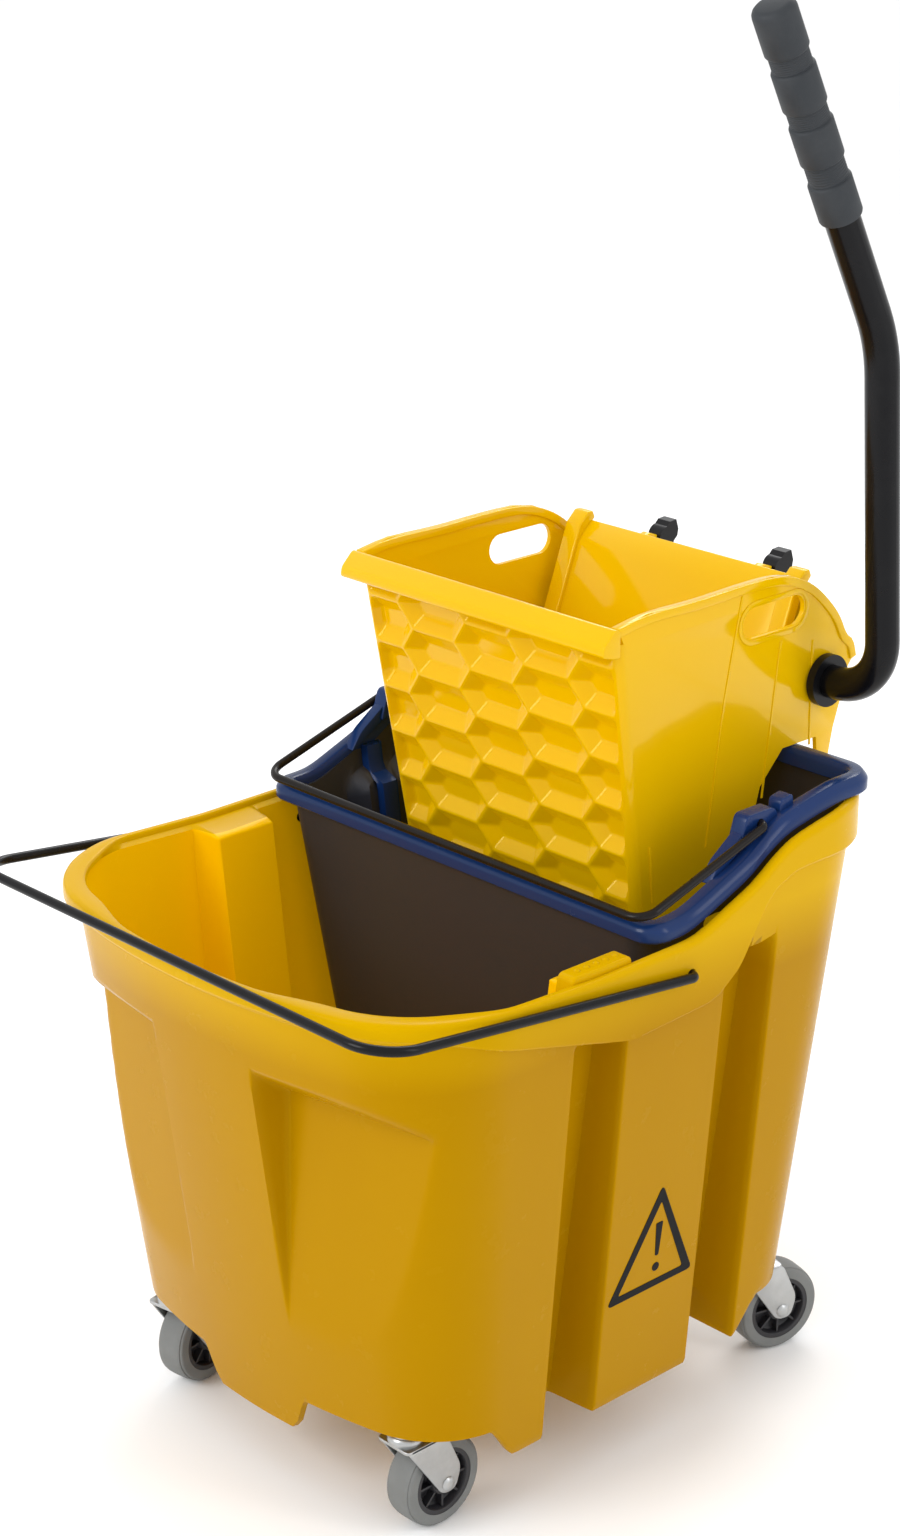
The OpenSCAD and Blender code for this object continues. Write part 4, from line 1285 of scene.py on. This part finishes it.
def plate_piece():
    """The press plate: a ribbed board on a hinge barrel, with hooks for the cams."""
    lean = math.radians(bpy.context.scene.wringer_sizes.plate_lean)
    hinge = pivot("plate_press")

    def stood(points):
        """Moves (back, up) points of the upright plate to its leaned place."""
        return [(hinge.y + a * math.cos(lean) + u * math.sin(lean),
                 hinge.z - a * math.sin(lean) + u * math.cos(lean)) for a, u in points]

    board = stood([(-3, 2), (-3, 224), (0, 233), (5, 241.6), (9, 239.6), (4.5, 231), (1, 222),
                   (1, 2)])
    barrel = arc(hinge.yz, 7, 0, 360, 33)[:-1]
    parts = [extruded("board", board, -98, 98, 1.1), extruded("barrel", barrel, -98, 98, 1.2)]
    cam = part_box("cam_lever_r")
    middle = (cam[0].x + cam[1].x) / 2 / MM
    hook = stood([(0, 150), (14, 176), (14, 188), (28, 197), (28, 243), (20, 243), (5, 232),
                  (0, 224)])
    rib = stood([(0, 14), (9, 24), (9, 208), (0, 222)])
    for s in (-1, 1):
        parts.append(extruded("hook", hook, s * middle - 3.9, s * middle + 3.9, 0.9))
        for x in (20, 86):
            parts.append(extruded("rib", rib, s * x - 1.5, s * x + 1.5, 0.5))
    wing = stood([(-6, 110), (-6, 236), (-1, 246), (4, 248), (8, 244), (3, 232), (1, 110)])
    for s in (-1, 1):
        parts.append(extruded("wing", wing, *sorted((s * 96, s * 110)), 1.2))
    for z0 in (60, 110, 160):
        bar = stood([(-3.9, z0), (-3.9, z0 + 3), (-2.5, z0 + 3), (-2.5, z0)])
        parts.append(extruded("bar", bar, -90, 90, 0.6))
    piece = joined("press_board", parts)
    soften(piece, 38)
    return place_piece(piece, "plate", "plate_yellow", "press_plate")


def spring_piece(side):
    """Return spring: round wire wound about the shaft by a spiral rule."""
    node = "return_spring_r" if side > 0 else "return_spring_l"
    lo, hi = low(node), high(node)
    shaft = pivot("lever_press")
    s = Shape(node + " coil", wire=1.35, coil=(hi.z - lo.z) / 2 - 1.5, width=hi.x - lo.x - 3,
              turns=7.0, start=lo.x + 1.5, steps=24)
    spiral = s.node("GeometryNodeCurveSpiral", {}, {
        "Resolution": s.size("steps"), "Rotations": s.size("turns"),
        "Start Radius": s.size("coil") * MM, "End Radius": s.size("coil") * MM,
        "Height": s.size("width") * MM})[0]
    ring = s.node("GeometryNodeCurvePrimitiveCircle", {}, {
        "Resolution": 10, "Radius": s.size("wire") * MM})[0]
    wire = s.node("GeometryNodeCurveToMesh", {}, {
        "Curve": spiral, "Profile Curve": ring, "Fill Caps": True})[0]
    spot = s.node("ShaderNodeCombineXYZ", {}, {
        0: s.size("start") * MM, 1: shaft.y * MM, 2: shaft.z * MM})[0]
    laid = s.node("GeometryNodeTransform", {}, {
        "Geometry": wire, "Translation": spot, "Rotation": (0, math.pi / 2, 0)})[0]
    piece = s.bake(node + "_coil", laid, "spring_steel", 60)
    tidy_mesh(piece)
    return place_piece(piece, "wringer", "spring_steel", node)


# ---------------------------------------------------------------- lever

GRIP_BANDS = ((28, 43), (70, 82), (109, 121))
GRIP_END = 153.0


def grip_piece():
    """Rubber grip with three sunk bands, on the lever's top end."""
    shaft = pivot("lever_press")
    up = Vector((0, -math.sin(math.radians(4.5)), math.cos(math.radians(4.5))))
    ahead = Vector((0, -math.sin(math.radians(28.5)), math.cos(math.radians(28.5))))
    end = Vector((174, shaft.y, shaft.z)) + up * (246 / math.cos(math.radians(4.5))) + ahead * 249
    foot = end - ahead * 150
    profile = [(11.9, 0), (13.0, 0), (13.9, 0.5), (14.3, 1.6)]
    for a, c in GRIP_BANDS:
        profile += [(14.3, a - 1.2), (13.9, a - 0.3), (12.7, a + 0.4)]
        for h in spread(a + 1.6, c - 1.6, 7):
            profile += [(12.6, h - 0.6), (12.95, h), (12.6, h + 0.6)]
        profile += [(12.7, c - 0.4), (13.9, c + 0.3), (14.3, c + 1.2)]
    profile += [(14.3, 147.5), (14.0, 149.4), (13.0, 151.2), (11.4, 152.5), (9, GRIP_END),
                (0, GRIP_END), (0, 150.4), (11.9, 150.4)]
    piece = lathe("lever_grip", profile, foot, ahead, 72, 40)
    return place_piece(piece, "lever", "grip_grey", "grip")


# ---------------------------------------------------------------- casters


def caster_turn(corner):
    """Turn of a caster at rest, in radians, read from its wheel's axis."""
    axis = JOINTS["roll_" + corner]["axis"]
    return math.atan2(axis[1], axis[0])


def turned(piece, corner):
    """Moves a piece drawn about its caster's stem, unturned, to its place."""
    stem = pivot("swivel_" + corner)
    spin = Matrix.Rotation(caster_turn(corner), 4, "Z")
    shift = Matrix.Translation(Vector((stem.x, stem.y, 0)) * MM)
    piece.data.transform(shift @ spin)
    return piece


TRAIL = 24.0
WHEEL_R = 33.0
FORK_IN = 13.2
FORK_T = 2.2


def fork_piece(corner):
    """Stamped fork: two three-cornered cheeks, the plate, and the ball race's dome."""
    parts = []
    cheek = rounded([(-12, 71.5), (23, 71.5), (TRAIL + 12, WHEEL_R + 9),
                     (TRAIL + 7, WHEEL_R - 6.5), (TRAIL - 5, WHEEL_R - 6.5)], 6, 8)
    for s in (-1, 1):
        side = extruded("cheek", cheek, *sorted((s * FORK_IN, s * (FORK_IN + FORK_T))))
        parts.append(round_edges(side, 0.7, 3))
        rivet = ((0, -0.6), (5.2, -0.6), (5.2, 0.3), (4.4, 1.2), (2.4, 1.8), (0, 2.0))
        parts.append(lathe("rivet", rivet, (s * (FORK_IN + FORK_T), TRAIL, WHEEL_R), (s, 0, 0), 24))
    axle = ((0, -FORK_IN - 1), (3.9, -FORK_IN - 1), (3.9, FORK_IN + 1), (0, FORK_IN + 1))
    parts.append(lathe("axle", axle, (0, TRAIL, WHEEL_R), (1, 0, 0), 32))
    half = FORK_IN + FORK_T
    top = rounded([(-half, -12), (half, -12), (half, 23), (-half, 23)], 4)
    count = len(top)
    points = [(x, y, z) for z in (69.0, 71.4) for x, y in top]
    faces = [tuple(range(count - 1, -1, -1)), tuple(range(count, 2 * count))]
    faces += [(i, (i + 1) % count, count + (i + 1) % count, count + i) for i in range(count)]
    plate = mesh_piece("plate", points, faces)
    tidy_mesh(plate)
    round_edges(plate, 0.6, 3)
    parts.append(plate)
    race = ((4.2, 71.4), (12.4, 71.4), (12.5, 72.6), (12.1, 74.2), (11.0, 76.0), (9.6, 76.9),
            (4.2, 76.9))
    parts.append(lathe("race", race, (0, 0, 0), (0, 0, 1), 48))
    piece = joined("caster_fork_" + corner, parts)
    soften(piece, 36)
    return place_piece(turned(piece, corner), "caster_" + corner, "fork_zinc", "fork_" + corner,
                       "axle_" + corner)


def hub_piece(corner):
    """Wheel hub: a turned rim and boss, with webs repeated round the axle."""
    half = 11.6
    profile = ((4.1, -half), (8.6, -half), (9.2, -half + 0.6), (10.4, -5), (12, -4.2), (18, -4.2),
               (19.6, -5), (20.4, -half + 1), (21, -half + 0.4), (24, -half + 0.4),
               (24, half - 0.4), (21, half - 0.4), (20.4, half - 1), (19.6, 5), (18, 4.2),
               (12, 4.2), (10.4, 5), (9.2, half - 0.6), (8.6, half), (4.1, half))
    centre = (0, TRAIL, WHEEL_R)
    turned_part = lathe("turned hub", profile, centre, (1, 0, 0), 72, 40)
    s = Shape("hub webs " + corner, webs=8, thickness=1.6, inner=8.8, outer=20.6, width=19.0)
    web = s.node("GeometryNodeMeshCube", {}, {"Size": s.node("ShaderNodeCombineXYZ", {}, {
        0: s.size("width") * MM, 1: (s.size("outer") - s.size("inner")) * MM,
        2: s.size("thickness") * MM})[0], "Vertices X": 5, "Vertices Y": 4, "Vertices Z": 2})[0]
    middle = s.node("ShaderNodeCombineXYZ", {}, {
        1: (s.size("outer") + s.size("inner")) * (MM / 2)})[0]
    web = s.node("GeometryNodeTransform", {}, {"Geometry": web, "Translation": middle})[0]
    line = s.node("GeometryNodeMeshLine", {}, {"Count": s.size("webs"), "Offset": (0, 0, 0)})[0]
    index = s.node("GeometryNodeInputIndex", {}, {})[0]
    angle = index * (2 * math.pi) / s.size("webs")
    spin = s.node("ShaderNodeCombineXYZ", {}, {0: angle})[0]
    fans = s.node("GeometryNodeInstanceOnPoints", {}, {
        "Points": line, "Instance": web, "Rotation": spin})[0]
    webs = s.bake("webs", fans, "hub_black", 35)
    webs.data.transform(Matrix.Translation(Vector(centre) * MM))
    piece = joined("wheel_hub_" + corner, [turned_part, webs])
    soften(piece, 40)
    return place_piece(turned(piece, corner), "wheel_" + corner, "hub_black", "hub_" + corner)


def tread_piece(corner):
    """Grey tyre with a crowned face and rounded shoulders."""
    half = 11.5
    profile = [(24, -half)] + [(29.6 + 1.8 * math.sin(a), -half + 1.8 - 1.8 * math.cos(a))
                               for a in spread(0, math.pi / 2, 5)]
    profile += [(WHEEL_R - 1.6 * (h / half) ** 4, h) for h in spread(-half + 1.9, half - 1.9, 17)]
    profile += [(29.6 + 1.8 * math.cos(a), half - 1.8 + 1.8 * math.sin(a))
                for a in spread(0, math.pi / 2, 5)] + [(24, half)]
    piece = lathe("wheel_tread_" + corner, profile, (0, TRAIL, WHEEL_R), (1, 0, 0), 96, 40)
    return place_piece(turned(piece, corner), "wheel_" + corner, "tread_grey", "tread_" + corner)


# ---------------------------------------------------------------- kept pieces and stage


def dress_kept_nodes():
    """Gives the frame's own shown pieces the finish of their slots."""
    slots = {part["node"]: part["material_slot"] for part in frame["record"]["subparts"]}
    for name, piece in NODES.items():
        if piece.hide_render:
            continue
        piece.data.materials.clear()
        piece.data.materials.append(finishes()[slots[name]])


def floor_piece():
    """Wide pale floor under the object."""
    span = 40.0
    corners = [(x, y, 0) for x, y in ((-span, -span), (span, -span), (span, span), (-span, span))]
    data = bpy.data.meshes.new("floor")
    data.from_pydata(corners, [], [(0, 1, 2, 3)])
    floor = bpy.data.objects.new("floor", data)
    bpy.context.scene.collection.objects.link(floor)
    finish = Finish("pale floor", (0.97, 0.97, 0.97), 0.6, Specular_IOR_Level=0.1)
    cloud = finish.noise(2.0, 2.0)
    finish.set("Roughness", cloud * 0.2 + 0.5)
    data.materials.append(finish.material)
    return floor


CAMERA_TURN = math.radians(46.776)
CAMERA_TIP = math.radians(20.281)
CAMERA_PLACE = Vector((1.3754, -1.3041, 1.1655))
CAMERA_LENS = 70.36


def camera_piece():
    data = bpy.data.cameras.new("camera")
    data.lens = CAMERA_LENS
    data.sensor_width = 36
    data.clip_start = 0.05
    camera = bpy.data.objects.new("camera", data)
    camera.location = CAMERA_PLACE
    camera.rotation_euler = (math.pi / 2 - CAMERA_TIP, 0, CAMERA_TURN)
    bpy.context.scene.collection.objects.link(camera)
    bpy.context.scene.camera = camera
    return camera


def light_piece(name, place, size, power, target=(0, 0, 0.35)):
    """A soft rectangular lamp that looks at the object."""
    data = bpy.data.lights.new(name, "AREA")
    data.shape = "RECTANGLE"
    data.size, data.size_y = size
    data.energy = power
    lamp = bpy.data.objects.new(name, data)
    lamp.location = place
    aim = Vector(target) - Vector(place)
    lamp.rotation_euler = aim.to_track_quat("-Z", "Y").to_euler()
    bpy.context.scene.collection.objects.link(lamp)
    return lamp


def studio():
    """White surroundings and three soft lamps."""
    world = bpy.data.worlds.new("studio")
    bpy.context.scene.world = world
    world.use_nodes = True
    backdrop = world.node_tree.nodes["Background"]
    backdrop.inputs[0].default_value = (1, 1, 1, 1)
    backdrop.inputs[1].default_value = 1.05
    light_piece("key lamp", (-0.6, -2.6, 2.0), (1.4, 1.4), 42)
    light_piece("fill lamp", (2.6, 0.9, 1.6), (0.7, 2.0), 16)
    light_piece("back lamp", (-1.2, 2.2, 2.4), (1.8, 0.8), 26)
    bpy.context.scene.view_settings.view_transform = "Standard"
    bpy.context.scene.view_settings.look = "None"


# ---------------------------------------------------------------- add-on


class Build:
    """Shared running of one build step."""

    bl_options = {"REGISTER"}

    def execute(self, context):
        made = self.build()
        if made is False:
            raise RuntimeError(self.bl_label + " could not finish")
        return {"FINISHED"}


class BUCKET_OT_shell(Build, bpy.types.Operator):
    """Builds the bucket's moulding, the rim pad on its right side and its caution marks"""

    bl_idname = "bucket.shell"
    bl_label = "Bucket shell"

    def build(self):
        bucket_piece()
        grip_pad(1)
        sign_piece()


class BUCKET_OT_pail(Build, bpy.types.Operator):
    """Builds the pail's body, rim, ribs and ears"""

    bl_idname = "bucket.pail"
    bl_label = "Pail"

    def build(self):
        pail_piece()
        pail_rim_piece()
        for side in (1, -1):
            pail_rib(side)
            pail_ear_piece(side)


class BUCKET_OT_wringer(Build, bpy.types.Operator):
    """Builds the wringer's walls, cover, press plate and springs"""

    bl_idname = "bucket.wringer"
    bl_label = "Wringer"

    def build(self):
        honeycomb_piece()
        for side in (1, -1):
            side_piece(side)
            spring_piece(side)
        wringer_trim()
        cover_piece()
        plate_piece()


class BUCKET_OT_lever(Build, bpy.types.Operator):
    """Builds the lever's grip"""

    bl_idname = "bucket.lever"
    bl_label = "Lever grip"

    def build(self):
        grip_piece()


class BUCKET_OT_casters(Build, bpy.types.Operator):
    """Builds the forks, hubs and treads of the four casters"""

    bl_idname = "bucket.casters"
    bl_label = "Casters"

    def build(self):
        for corner in CORNERS:
            fork_piece(corner)
            hub_piece(corner)
            tread_piece(corner)


class BUCKET_OT_kept(Build, bpy.types.Operator):
    """Gives the wires, tube and small hardware their finishes"""

    bl_idname = "bucket.kept"
    bl_label = "Wires and hardware"

    def build(self):
        dress_kept_nodes()


class BUCKET_OT_stage(Build, bpy.types.Operator):
    """Sets the floor, the lamps and the camera"""

    bl_idname = "bucket.stage"
    bl_label = "Stage"

    def build(self):
        floor_piece()
        studio()
        camera_piece()


STEPS = (BUCKET_OT_shell, BUCKET_OT_pail, BUCKET_OT_wringer, BUCKET_OT_lever,
         BUCKET_OT_casters, BUCKET_OT_kept, BUCKET_OT_stage)


class BUCKET_PT_panel(bpy.types.Panel):
    """Lists the build steps and their sizes"""

    bl_label = "Mop bucket"
    bl_space_type = "VIEW_3D"
    bl_region_type = "UI"
    bl_category = "Bucket"

    def draw(self, context):
        for step in STEPS:
            self.layout.operator(step.bl_idname)
        for group in ("bucket_sizes", "wringer_sizes", "bucket_finishes"):
            settings = getattr(context.scene, group)
            for key in settings.__annotations__:
                self.layout.prop(settings, key)


GROUPS = {"bucket_sizes": BucketSizes, "wringer_sizes": WringerSizes,
          "bucket_finishes": Finishes}


def register():
    for group, kind in GROUPS.items():
        bpy.utils.register_class(kind)
        setattr(bpy.types.Scene, group, bpy.props.PointerProperty(type=kind))
    for step in STEPS:
        bpy.utils.register_class(step)
    bpy.utils.register_class(BUCKET_PT_panel)


def unregister():
    bpy.utils.unregister_class(BUCKET_PT_panel)
    for step in STEPS:
        bpy.utils.unregister_class(step)
    for group, kind in GROUPS.items():
        delattr(bpy.types.Scene, group)
        bpy.utils.unregister_class(kind)


def main():
    register()
    for step in STEPS:
        family, name = step.bl_idname.split(".")
        getattr(getattr(bpy.ops, family), name)()


if __name__ == "__main__":
    main()
